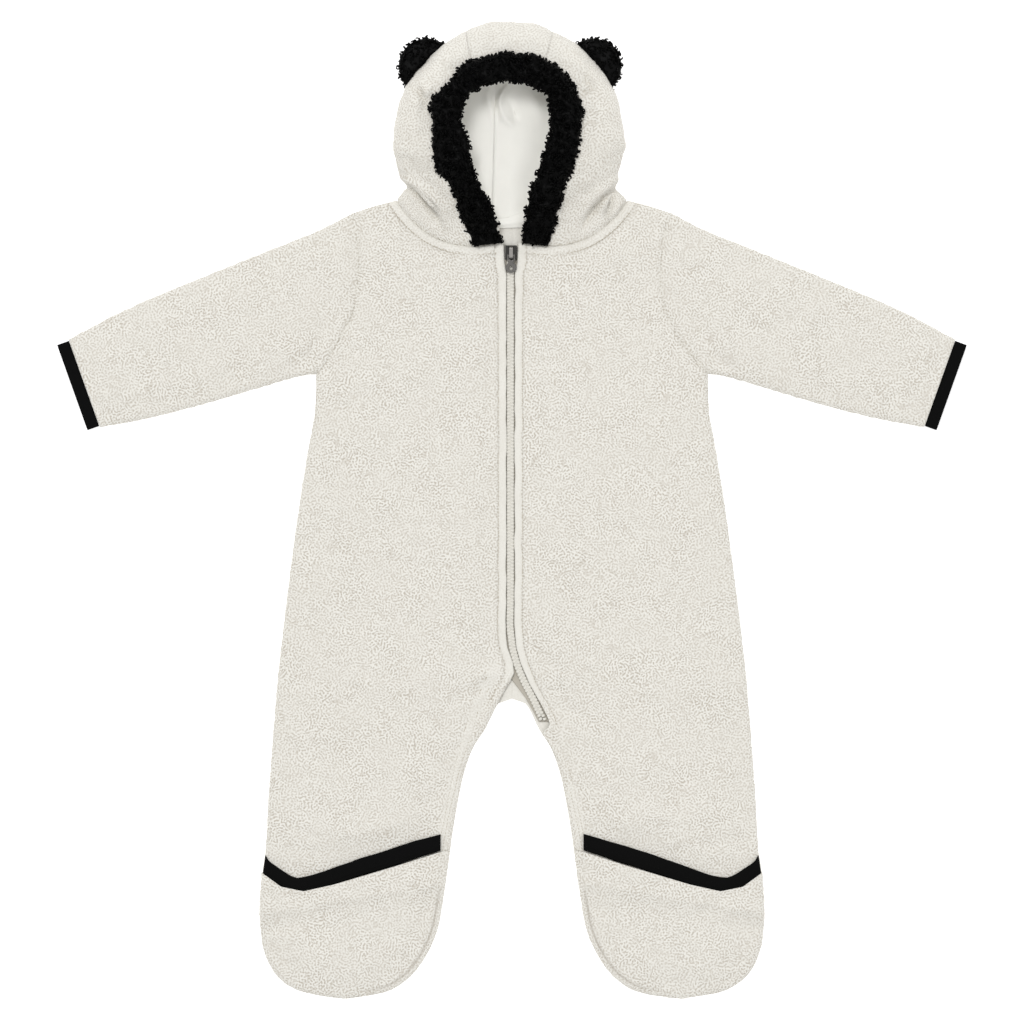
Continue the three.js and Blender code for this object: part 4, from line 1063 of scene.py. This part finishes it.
def dressed(outer, seams):
    """The hood's outer form pushed out by its folds, lumps and grooves, and kept above the floor."""
    sign = 1 if (push_out(outer, 1.0) - outer)[len(outer) // 2, 4, 2] > 0 else -1
    outer = push_out(outer, sign * hood_dress(outer, seams[:, None] + 0 * outer[..., 0]))
    outer[..., 2] = np.maximum(outer[..., 2], 0.0)
    return outer


class SUIT_OT_hood(bpy.types.Operator):
    """Builds the hood: two sides and the strip between them, standing round the empty hood's hollow."""

    bl_idname = "suit.hood"
    bl_label = "Hood"

    def execute(self, context):
        step = context.scene.suit_sizes.grain / MM * 0.62
        counts = (int(44 / step), int(62 / step), int(60 / step))
        for side, word in ((1, "left"), (-1, "right")):
            k = np.linspace(0, STRIP_ROW, int(190 / step))
            rows = Hood(side * (CROWN - k))
            foot = hood_feet(side, k)
            outer, inner = rows.section(foot, 0.0, *counts, 1.0), rows.section(foot, CLOTH, *counts)
            outer = dressed(outer, 0.75 * np.exp(-((STRIP_ROW - k) / 0.12) ** 2) + 1.2 * np.exp(-(k / 0.13) ** 2))
            outer, inner = (tucked(g, (side * 0.6, -1.5)) for g in (outer, inner))
            smoother = 0.22 + 0.28 * smooth((outer[..., 1] - 330) / 50)
            seat(f"cloth_hood_{word}", outer, inner, "fleece", "fleece", context, (0.128, 0.185, 0.0195),
                 flat=smoother, cloth=unrolled(outer).reshape(-1, 2))
        near = CROWN - STRIP_ROW
        w = np.linspace(-near, near, int(74 / step))
        rows = Hood(w)
        foot_x = 37.5 * w / near
        foot = np.stack([foot_x, 236.7 + 0.174 * np.abs(foot_x)], -1)
        counts = (int(20 / step), int(64 / step), int(130 / step))
        outer, inner = rows.section(foot, 0.0, *counts, 0.6), rows.section(foot, CLOTH, *counts)
        outer = dressed(outer, 0.75 * np.exp(-((near - np.abs(w)) / 0.12) ** 2))
        seat("cloth_hood_centre", outer, inner, "fleece", "fleece", context, (0.076, 0.225, 0.0155),
             flat=np.full(outer.shape[:2], 0.5), cloth=unrolled(outer).reshape(-1, 2))
        return {"FINISHED"}


class SUIT_OT_lining(bpy.types.Operator):
    """Builds the hood's smooth lining in two halves with a seam down its middle, and the tape at the back of
    the neck."""

    bl_idname = "suit.lining"
    bl_label = "Hood lining"

    def execute(self, context):
        step = context.scene.suit_sizes.grain / MM * 0.68
        for side, word in ((1, "left"), (-1, "right")):
            seam, first = -0.7, side * 10.3
            w = np.linspace(first, seam, int(190 / step))
            rows = Hood(w)
            f = np.abs(first - w) / abs(first - seam)
            foot = np.stack([-17 + 4 * f + 0 * f, 239 + 133 * f], -1)
            counts = (int(30 / step), int(50 / step), int(60 / step))
            outer, inner = rows.section(foot, 6.0, *counts), rows.section(foot, 7.2, *counts)
            for g in (outer, inner):
                x, y, z = g[..., 0], g[..., 1], g[..., 2]
                g[..., 2] += (0.5 * waves(x, y, 0, 14, 50, 91) + folds(x, y, LINING_FOLDS)) * smooth((16 - z) / 8) + 0.5
                ridge = 0.55 * np.exp(-((w - seam) / 0.22) ** 2) - 0.35 * np.exp(-((w - seam + 0.34) / 0.08) ** 2)
                g[..., 2] += ridge[:, None]
                g[:, -4:, 2] -= np.array([0.1, 0.35, 0.6, 0.7])
                g[:, -9:-4, 2] += np.array([0.1, 0.35, 0.45, 0.35, 0.1])
            seat(f"cloth_hood_lining_{word}", inner, outer, "lining", "lining", context,
                 (0.15, 0.2, 0.0225 if side > 0 else 0.018),
                 rests=[f"hood_{word}", "hood_centre"])
        x = np.linspace(-37, 31, 60)[None, :] + np.zeros((14, 1))
        up = np.linspace(0, 1, 14)[:, None]
        y = 235.0 + up * (8.4 + 4.2 * smooth((x + 6) / 14)) + 0.5 * np.sin(x / 22)
        z = 6.1 + 1.9 * smooth(up * 2.2) + 0.15 * waves(x, y, 0, 12, 30, 92) - 0.2 * np.exp(-((up - 0.82) / 0.07) ** 2)
        outer, inner = (np.stack([x, y, v], -1) for v in (z, z - 0.5))
        seat("cloth_neck_tape", outer, inner, "lining", "lining", context, (0.068, 0.0105, None),
             rests=["hood_lining_left", "hood_lining_right"])
        return {"FINISHED"}


# ---------- curly pile ----------
def curls(roots, normals, height, thick, seed):
    """Curled tufts: each a tapered tube of 6 rings of 4 points along an arc of 2.2 to 4.2 radians, in a plane that
    leans at random from the normal."""
    rng = np.random.default_rng(seed)
    n = len(roots)
    side = rng.normal(size=(n, 3))
    side -= normals * (side * normals).sum(1, keepdims=True)
    side /= np.linalg.norm(side, axis=1, keepdims=True)
    across = np.cross(normals, side)
    tilt = rng.uniform(-1.25, 1.25, (n, 1))
    rise = normals * np.cos(tilt) + across * np.sin(tilt)
    level = np.cross(side, rise)
    ang = np.linspace(0, 1, 6)[None, :, None] * rng.uniform(2.2, 4.2, (n, 1, 1))
    bend = height * rng.uniform(0.36, 0.62, (n, 1, 1))
    mid = roots[:, None] + bend * (side[:, None] * np.sin(ang) + rise[:, None] * (1 - np.cos(ang)))
    inward = rise[:, None] * np.cos(ang) - side[:, None] * np.sin(ang)
    radius = thick * rng.uniform(0.75, 1.25, (n, 1, 1)) * np.array([0.9, 1.0, 1.0, 0.95, 0.8, 0.45])[None, :, None]
    a = np.arange(4) * np.pi / 2
    ring = inward[:, :, None] * np.cos(a)[None, None, :, None] + level[:, None, None] * np.sin(a)[None, None, :, None]
    points = mid[:, :, None] + ring * radius[:, :, None]
    one = grid_faces(6, 4, True)
    one = np.concatenate([one, [[3, 2, 1, 0], [20, 21, 22, 23]]])
    if volume_of(points[0].reshape(-1, 3), one) < 0:
        one = one[:, ::-1]
    faces = (one[None] + 24 * np.arange(n)[:, None, None]).reshape(-1, 4)
    return points.reshape(-1, 3), faces


def covered(grid, ring, pitch, seed):
    """Seeded roots over a grid's surface, about one for each square of the pitch, with the surface's normals."""
    rng = np.random.default_rng(seed)
    g = np.concatenate([grid, grid[:, :1]], 1) if ring else grid
    a, b, c, d = g[:-1, :-1], g[:-1, 1:], g[1:, 1:], g[1:, :-1]
    normal = np.cross(b - a, d - a) + np.cross(d - c, b - c)
    area = np.linalg.norm(normal, axis=-1) / 2
    flat = area.ravel()
    count = int(flat.sum() / pitch**2)
    cell = rng.choice(flat.size, count, p=flat / flat.sum())
    i, j = np.unravel_index(cell, area.shape)
    u, v = rng.random((count, 1)), rng.random((count, 1))
    p = a[i, j] * (1 - u) * (1 - v) + b[i, j] * u * (1 - v) + c[i, j] * u * v + d[i, j] * (1 - u) * v
    n = normal[i, j] / np.linalg.norm(normal[i, j], axis=-1, keepdims=True)
    return p, n


def ring_faces(rows, cols):
    """Quads of a tube of rings, closed at both ends by a fan round an added middle point; the middles come
    after the rings."""
    quads = grid_faces(rows, cols, True)
    c = np.arange(cols)
    d = (c + 1) % cols
    first, last, base = rows * cols, rows * cols + 1, (rows - 1) * cols
    fans = np.concatenate([np.stack([d, c, np.full(cols, first), np.full(cols, first)], -1),
                           np.stack([base + c, base + d, np.full(cols, last), np.full(cols, last)], -1)])
    return quads, fans


def closed_tube(rings):
    """Points and faces of a tube with its ends closed, turned outwards; a fan's triangle repeats its last corner."""
    rows, cols = rings.shape[:2]
    points = np.concatenate([rings.reshape(-1, 3), rings[0].mean(0)[None], rings[-1].mean(0)[None]])
    quads, fans = ring_faces(rows, cols)
    both = np.concatenate([quads, fans])
    if volume_of(points, both) < 0:
        quads, fans = quads[:, ::-1], np.stack([fans[:, 1], fans[:, 0], fans[:, 2], fans[:, 3]], -1)
    return points, quads, fans[:, :3]


def joined(parts):
    """One set of points and faces from several (points, quads[, triangles])."""
    points, quads, tris, n = [], [], [], 0
    for part in parts:
        points.append(part[0])
        quads.append(np.asarray(part[1]) + n)
        if len(part) > 2:
            tris.append(np.asarray(part[2]) + n)
        n += len(part[0])
    faces = [np.concatenate(quads)] + ([np.concatenate(tris)] if tris else [])
    return np.concatenate(points), faces


# The trim's edges as it lies, whole-suit x, y, from the right of the neck over the crown to the left of it.
TRIM_OUTER = [[(-33.2, 219.4), (-44, 247.3), (-52.3, 268.9), (-63.9, 283), (-67.2, 301.3), (-66.4, 315.4),
               (-66.6, 327), (-70, 335.3), (-63, 345.3), (-48.1, 360.2), (-39.8, 371.8), (-24.1, 376), (-4.2, 380.1)],
              [(-4.2, 380.1), (15.8, 378.5), (33.2, 371.8), (47.3, 360.2), (54.8, 347), (58.1, 335.3), (58.1, 315.4),
               (53.1, 288), (47.3, 273.9), (40.7, 252.3), (32.6, 219.6)]]
TRIM_INNER = [[(-7.2, 222.6), (-14.9, 249.8), (-24.1, 267.3), (-32.4, 288), (-35.7, 307.1), (-39.8, 317.1),
               (-44, 321.2), (-40.7, 329.5), (-38.2, 338.6), (-29.9, 346.9), (-16.6, 351.9), (-6.6, 354.4)],
              [(-6.6, 354.4), (11.6, 351.1), (26.6, 344.5), (30.7, 332.8), (30.7, 315.4), (24.9, 295.5), (19.1, 278),
               (13.3, 262.3), (9.1, 239.9), (7.3, 222.2)]]


def eased(line, share):
    """Points at shares of a line's length, by a cubic through its points."""
    line = np.array(line, float)
    at = distances(line)
    return np.stack([look(np.column_stack([at, line[:, i]]), share * at[-1]) for i in range(2)], -1)


def hood_top(x, y):
    """Height of the hood's top at points in plan: that of the nearest point over the rows' tops."""
    rows = Hood(np.linspace(-12, 12, 240))
    g = rows.section(np.zeros((240, 2)), 0.0, 16, 12, 0)[:, :20].reshape(-1, 3)
    parts = zip(np.array_split(x.ravel(), 60), np.array_split(y.ravel(), 60))
    near = [((a[:, None] - g[None, :, 0]) ** 2 + (b[:, None] - g[None, :, 1]) ** 2).argmin(1) for a, b in parts]
    return g[np.concatenate(near), 2].reshape(x.shape)


def furred(name, grid, roots, normals, thick, seed, nodes, context):
    """A closed tube set with curled tufts at the roots, in place of its nodes."""
    tufts = curls(roots - normals * 0.5, normals, context.scene.suit_sizes.curl_length / MM, thick, seed)
    obj = make_mesh(name, *joined([closed_tube(grid), tufts]), finish_of("curls", context), "curly_pile")
    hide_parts(*nodes)
    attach(obj, "suit")


class SUIT_OT_trim(bpy.types.Operator):
    """Builds the curly trim round the hood's opening: a lumpy roll set with curled tufts."""

    bl_idname = "suit.trim"
    bl_label = "Hood trim"

    def execute(self, context):
        t = np.linspace(0, 1, 180)
        inner = np.concatenate([eased(TRIM_INNER[0], t), eased(TRIM_INNER[1], t)[1:]])
        outer = np.concatenate([eased(TRIM_OUTER[0], t), eased(TRIM_OUTER[1], t)[1:]])
        a = np.linspace(0, np.pi, 28)
        up = np.concatenate([np.sin(a) ** 0.55, np.zeros(8)])[None, :]
        share = np.concatenate([(1 - np.cos(a)) / 2, np.linspace(1, 0, 10)[1:-1]])[None, :]
        width = np.linalg.norm(outer - inner, axis=1)[:, None]
        out = (outer - inner) / width
        q = 1.6 + share * (width - 3.2)
        plan = inner[:, None] + out[:, None] * q[..., None]
        far = np.arange(len(inner))[:, None] * 0.98
        bumps = 2.0 * waves(plan[..., 0], plan[..., 1], up * 6, 6, 11, 101, 60)
        ragged = (np.cos(np.concatenate([a, np.full(8, np.pi / 2)]))[None, :] * 1.1
                  * waves(far + 0 * q, 0 * q + (share > 0.5) * 40, 0, 5, 11, 102))
        plan = plan - out[:, None] * ragged[..., None]
        ground = hood_top(plan[..., 0], plan[..., 1])
        ground = (ground + np.roll(ground, 1, 0) + np.roll(ground, -1, 0)) / 3
        ground[0], ground[-1] = ground[1], ground[-2]
        from_end = np.minimum(far, far[-1] - far)
        z = ground + 0.9 + up * (7.6 + bumps) * (0.42 + 0.58 * smooth(from_end / 26))
        grid = np.concatenate([plan, z[..., None]], -1)
        roots, normals = covered(grid[:, :29], False, context.scene.suit_sizes.curl_pitch / MM, 103)
        if normals[:, 2].mean() < 0:
            normals = -normals
        furred("curly_hood_trim", grid, roots, normals, 0.85, 104, ["hood_trim"], context)
        return {"FINISHED"}


class SUIT_OT_ears(bpy.types.Operator):
    """Builds the two round ears: flat pads of curly pile behind the crown."""

    bl_idname = "suit.ears"
    bl_label = "Ears"

    def execute(self, context):
        for side, word in ((1, "left"), (-1, "right")):
            a = np.radians(np.linspace(-49, 131, 52))
            arc = np.stack([side * (68.9 + 23.4 * np.cos(a)) - 1.7, 368.1 + 23.4 * np.sin(a)], -1)
            rows = Hood(side * (CROWN - np.linspace(9.25, 7.25, 18)[1:-1]))
            base = rows.place(rows.length[:, None] - 2.2, np.zeros((16, 1)))[:, 0, :2]
            rim = np.concatenate([arc, base])
            middle = np.array([side * 75.9 - 1.7, 374.1])
            phi = np.radians(np.linspace(3, 177, 30))[:, None]
            edge = 0.9 + 0.1 * np.sin(phi)
            flat = middle + (rim - middle)[None] * (np.sin(phi) ** 0.6 * edge)[..., None]
            lump = 0.9 * waves(flat[..., 0], flat[..., 1], np.cos(phi) * 9, 7, 12, 111 + side)
            z = 21 + np.cos(phi) * (4.9 + 0.5 * lump) + 0 * flat[..., 0]
            grid = np.concatenate([flat, z[..., None]], -1)
            roots, normals = covered(grid, True, context.scene.suit_sizes.curl_pitch / MM, 113 + side)
            away = roots - np.array([middle[0], middle[1], 21.0])
            normals = normals * np.sign((away * normals).sum(1).mean())
            nodes = [f"ear_{word}_front", f"ear_{word}_back"]
            furred(f"curly_ear_{word}", grid, roots, normals, 0.82, 115 + side, nodes, context)
        return {"FINISHED"}


# ---------- the zip ----------
def capsule(lengths, radii):
    """A short six-sided bar along X: rings at the lengths with the radii, its ends closed by quads across the ring."""
    a = np.arange(6) * 2 * np.pi / 6
    rings = np.stack([np.stack([np.full(6, l), r * np.cos(a), r * np.sin(a)], -1) for l, r in zip(lengths, radii)])
    last = (len(lengths) - 1) * 6
    caps = [[3, 2, 1, 0], [5, 4, 3, 0], [last, last + 1, last + 2, last + 3], [last, last + 3, last + 4, last + 5]]
    points, faces = rings.reshape(-1, 3), np.concatenate([grid_faces(len(lengths), 6, True), caps])
    return points, faces if volume_of(points, faces) > 0 else faces[:, ::-1]


def repeat(shape, origins, x_axes, z_axes):
    """Copies of a small shape at the origins, its X and Z along the given axes."""
    points, faces = shape
    x = x_axes / np.linalg.norm(x_axes, axis=1, keepdims=True)
    y = np.cross(z_axes, x)
    y /= np.linalg.norm(y, axis=1, keepdims=True)
    z = np.cross(x, y)
    out = (origins[:, None] + points[None, :, :1] * x[:, None] + points[None, :, 1:2] * y[:, None]
           + points[None, :, 2:] * z[:, None])
    n = len(origins)
    return out.reshape(-1, 3), (faces[None] + len(points) * np.arange(n)[:, None, None]).reshape(-1, 4)


def along_zip(pitch):
    """Even steps down the zip's middle: y, x and the slope dx/dy."""
    y = np.arange(208.0, -174.5, -0.5)
    x = np.convolve(np.pad(straight(ZIP, y), 6, mode="edge"), np.ones(13) / 13, "valid")
    at = np.concatenate([[0], np.cumsum(np.hypot(np.diff(x), np.diff(y)))])
    s = np.arange(0, at[-1], pitch)
    yy, xx = np.interp(s, at, y), np.interp(s, at, x)
    return yy, xx, np.gradient(xx, yy)


class SUIT_OT_zip(bpy.types.Operator):
    """Builds the zip: the coil's turns on both sides, and the two tapes under them."""

    bl_idname = "suit.zip"
    bl_label = "Zip"

    def execute(self, context):
        sizes = context.scene.suit_sizes
        pitch = sizes.tooth_pitch / MM
        y, x, slope = along_zip(pitch)
        x = x - 0.5 * smooth((y + 120) / 30)
        down = np.stack([-slope, -np.ones_like(y), np.zeros_like(y)], -1)
        down /= np.linalg.norm(down, axis=1, keepdims=True)
        across = np.stack([-down[:, 1], down[:, 0], np.zeros_like(y)], -1)
        up = np.tile([0.0, 0.0, 1.0], (len(y), 1))
        tooth = capsule([0.15, 0.4, 0.9, 2.4, 2.8, 3.0], [0.3, 0.62, 0.62, 0.62, 0.5, 0.25])
        tooth[0][:, 1] *= 2.0
        parts = []
        for side in (1, -1):
            centre = np.stack([x, y, np.full_like(x, 8.1)], -1) + down * pitch * 0.25 * side
            parts.append(repeat(tooth, centre, across * side + down * 0.12 + up * -0.06, up))
        y2 = y[::2]
        bed = np.stack([x[::2][:, None] + np.array([-2.8, 0, 2.8]), y2[:, None] + np.zeros(3),
                        np.full((len(y2), 3), 8.15)], -1)
        parts.append(closed_tube(np.concatenate([bed, bed[:, ::-1] - np.array([0, 0, 1.2])], 1)))
        obj = make_mesh("zip_coil", *joined(parts), finish_of("coil", context), "zip_coil")
        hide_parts("zip_chain")
        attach(obj, "suit")
        for side, word in ((1, "left"), (-1, "right")):
            yy = np.concatenate([np.linspace(221, 207, 10), np.linspace(206, -175, 190)])
            mid = straight(ZIP, yy)
            near = np.interp(yy, [-175, 207, 208.9, 221], [0.2, 0.2, 5.4, 5.4])
            far = np.interp(yy, [-175, -165, -155, -142, -135, -127, -115, 221], [4.4, 5, 6, 9, 11, 12, 13, 13])
            s = np.linspace(0, 1, 9)[None, :]
            xx = mid[:, None] + side * (near[:, None] + (far - near)[:, None] * s)
            z = 6.3 + 0 * xx
            # The tapes take the darker tape colour: painted shade in the gaps beside the coil.
            seat(f"cloth_zip_tape_{word}", np.stack([xx, yy[:, None] + 0 * xx, z], -1),
                 np.stack([xx, yy[:, None] + 0 * xx, z - 0.8], -1), "tape", "zip_coil", context, (0.013, 0.398, 0.0047),
                 rests=[f"front_{word}"])
        for name in ("zip_slider", "zip_pull"):
            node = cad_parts[name]
            node.data.materials.clear()
            node.data.materials.append(finish_of("metal", context))
            weld = node.modifiers.new("weld", "WELD")
            weld.merge_threshold = 0.00001
            bevel = node.modifiers.new("soft_edges", "BEVEL")
            bevel.width, bevel.segments, bevel.limit_method = 0.00022, 2, "ANGLE"
        return {"FINISHED"}


# ---------- stitches ----------
def stitched(line, pitch):
    """Stitches end to end along a line of points: each a short capsule sunk at its ends, a sixth of the pitch
    free between two."""
    at = distances(line)
    s = np.arange(pitch / 2, at[-1], pitch)
    p, ahead, before = (np.stack([np.interp(v, at, line[:, i]) for i in range(3)], -1) for v in (s, s + 0.4, s - 0.4))
    half = pitch * 0.42
    shape = capsule([-half, -half * 0.7, 0, half * 0.7, half], [0.14, 0.3, 0.34, 0.3, 0.14])
    shape[0][:, 2] -= 0.25 * (shape[0][:, 0] / half) ** 2
    return repeat(shape, p, ahead - before, np.tile([0.0, 0.0, 1.0], (len(p), 1)))


def nearest(x, y, spots):
    """Index into a flattened grid of the point nearest to each spot in plan."""
    return ((x[None] - spots[:, :1, None]) ** 2 + (y[None] - spots[:, 1:, None]) ** 2).reshape(len(spots), -1).argmin(1)


class SUIT_OT_stitches(bpy.types.Operator):
    """Builds the topstitching: beside the zip, below the neck seam, and down the seams on the inside of the legs."""

    bl_idname = "suit.stitches"
    bl_label = "Topstitching"

    def execute(self, context):
        sizes = context.scene.suit_sizes
        pitch, step = sizes.stitch / MM, 2.0
        pale = []
        for side in (1, -1):
            p = front_panel(side, step)
            z, _ = front_height(p, sizes.loft / MM)
            col = int(np.argmin(np.abs(p.q[len(p.q) // 2] - LINE_Q[side])))
            line = np.stack([p.sx[:, col], p.y[:, col], z[:, col] + 0.12], -1)
            low = -190 if side > 0 else -160
            pale.append(stitched(line[(line[:, 1] > low) & (line[:, 1] < 214)], pitch))
            for seam in SEAM_LINES[side]:
                spots = along_line(seam, np.linspace(0, 0.97, 60))
                height = z.ravel()[nearest(p.sx, p.y, spots)]
                pale.append(stitched(np.column_stack([spots, height - 0.1]), pitch))
            band = neckline(np.linspace(0.1, 0.93, 60))
            fwd = np.gradient(band, axis=0)
            fwd /= np.linalg.norm(fwd, axis=1, keepdims=True)
            spot = band + np.stack([fwd[:, 1], -fwd[:, 0]], -1) * NECK_Q
            height = z.ravel()[nearest(p.x, p.y, spot)]
            height = np.convolve(np.pad(height, 2, mode="edge"), np.ones(5) / 5, "valid")
            pale.append(stitched(np.column_stack([side * spot[:, 0], spot[:, 1], height + 0.1]), pitch))
        obj = make_mesh("stitches_pale", *joined(pale), finish_of("thread", context), "fleece")
        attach(obj, "suit")
        return {"FINISHED"}


# ---------- stage ----------
class SUIT_OT_stage(bpy.types.Operator):
    """Builds the floor, the soft lights and the camera looking straight down."""

    bl_idname = "suit.stage"
    bl_label = "Stage"

    def execute(self, context):
        scene = context.scene
        mesh = bpy.data.meshes.new("floor")
        mesh.from_pydata([(-6, -6, 0), (6, -6, 0), (6, 6, 0), (-6, 6, 0)], [], [(0, 1, 2, 3)])
        floor = bpy.data.objects.new("floor", mesh)
        context.collection.objects.link(floor)
        mesh.materials.append(finish_of("floor", context))
        world = bpy.data.worlds.new("pale_room")
        world.use_nodes = True
        light = world.node_tree.nodes["Background"].inputs
        light[0].default_value, light[1].default_value = (1, 1, 1, 1), 0.74
        scene.world = world
        for name, place, size, power in (("key_light", (-1.2, 3.0, 7.4), 2.4, 262.0),
                                         ("fill_light", (2.4, -1.5, 6.5), 3.0, 70.0)):
            data = bpy.data.lights.new(name, "AREA")
            data.shape, data.size, data.energy = "DISK", size, power
            lamp = bpy.data.objects.new(name, data)
            lamp.location = place
            gx, gy, gz = place
            lamp.rotation_euler = (math.atan2(math.hypot(gx, gy), gz), 0, math.atan2(gy, gx) + math.pi / 2)
            context.collection.objects.link(lamp)
        data = bpy.data.cameras.new("camera")
        camera = bpy.data.objects.new("camera", data)
        distance, span = 8.0, 0.8499
        data.sensor_width, data.lens = 36.0, 36.0 * distance / span
        data.clip_end = 50
        camera.location = (0.0, -0.0015, distance + 0.008)
        context.collection.objects.link(camera)
        scene.camera = camera
        scene.view_settings.view_transform = "Standard"
        return {"FINISHED"}


class SUIT_PT_panel(bpy.types.Panel):
    """Sizes, colours and pieces of the pramsuit"""

    bl_idname = "SUIT_PT_panel"
    bl_label = "Pramsuit"
    bl_space_type = "VIEW_3D"
    bl_region_type = "UI"
    bl_category = "Pramsuit"

    def draw(self, context):
        column = self.layout.column()
        for group in (context.scene.suit_sizes, context.scene.suit_colours):
            for key in group.__annotations__:
                column.prop(group, key)
        for operator in OPERATORS:
            column.operator(operator.bl_idname)


OPERATORS = (SUIT_OT_stage, SUIT_OT_backs, SUIT_OT_fronts, SUIT_OT_sleeves, SUIT_OT_cuffs, SUIT_OT_flaps,
             SUIT_OT_bindings, SUIT_OT_hood, SUIT_OT_lining, SUIT_OT_trim, SUIT_OT_ears, SUIT_OT_zip, SUIT_OT_stitches)
CLASSES = (SuitSizes, SuitColours, *OPERATORS, SUIT_PT_panel)


def register():
    for cls in CLASSES:
        bpy.utils.register_class(cls)
    bpy.types.Scene.suit_sizes = bpy.props.PointerProperty(type=SuitSizes)
    bpy.types.Scene.suit_colours = bpy.props.PointerProperty(type=SuitColours)


def unregister():
    del bpy.types.Scene.suit_colours
    del bpy.types.Scene.suit_sizes
    for cls in reversed(CLASSES):
        bpy.utils.unregister_class(cls)


def main():
    register()
    for step in ("stage", "backs", "fronts", "sleeves", "cuffs", "flaps", "bindings", "hood", "lining", "trim", "ears",
                 "zip", "stitches"):
        getattr(bpy.ops.suit, step)()


if __name__ == "__main__":
    main()
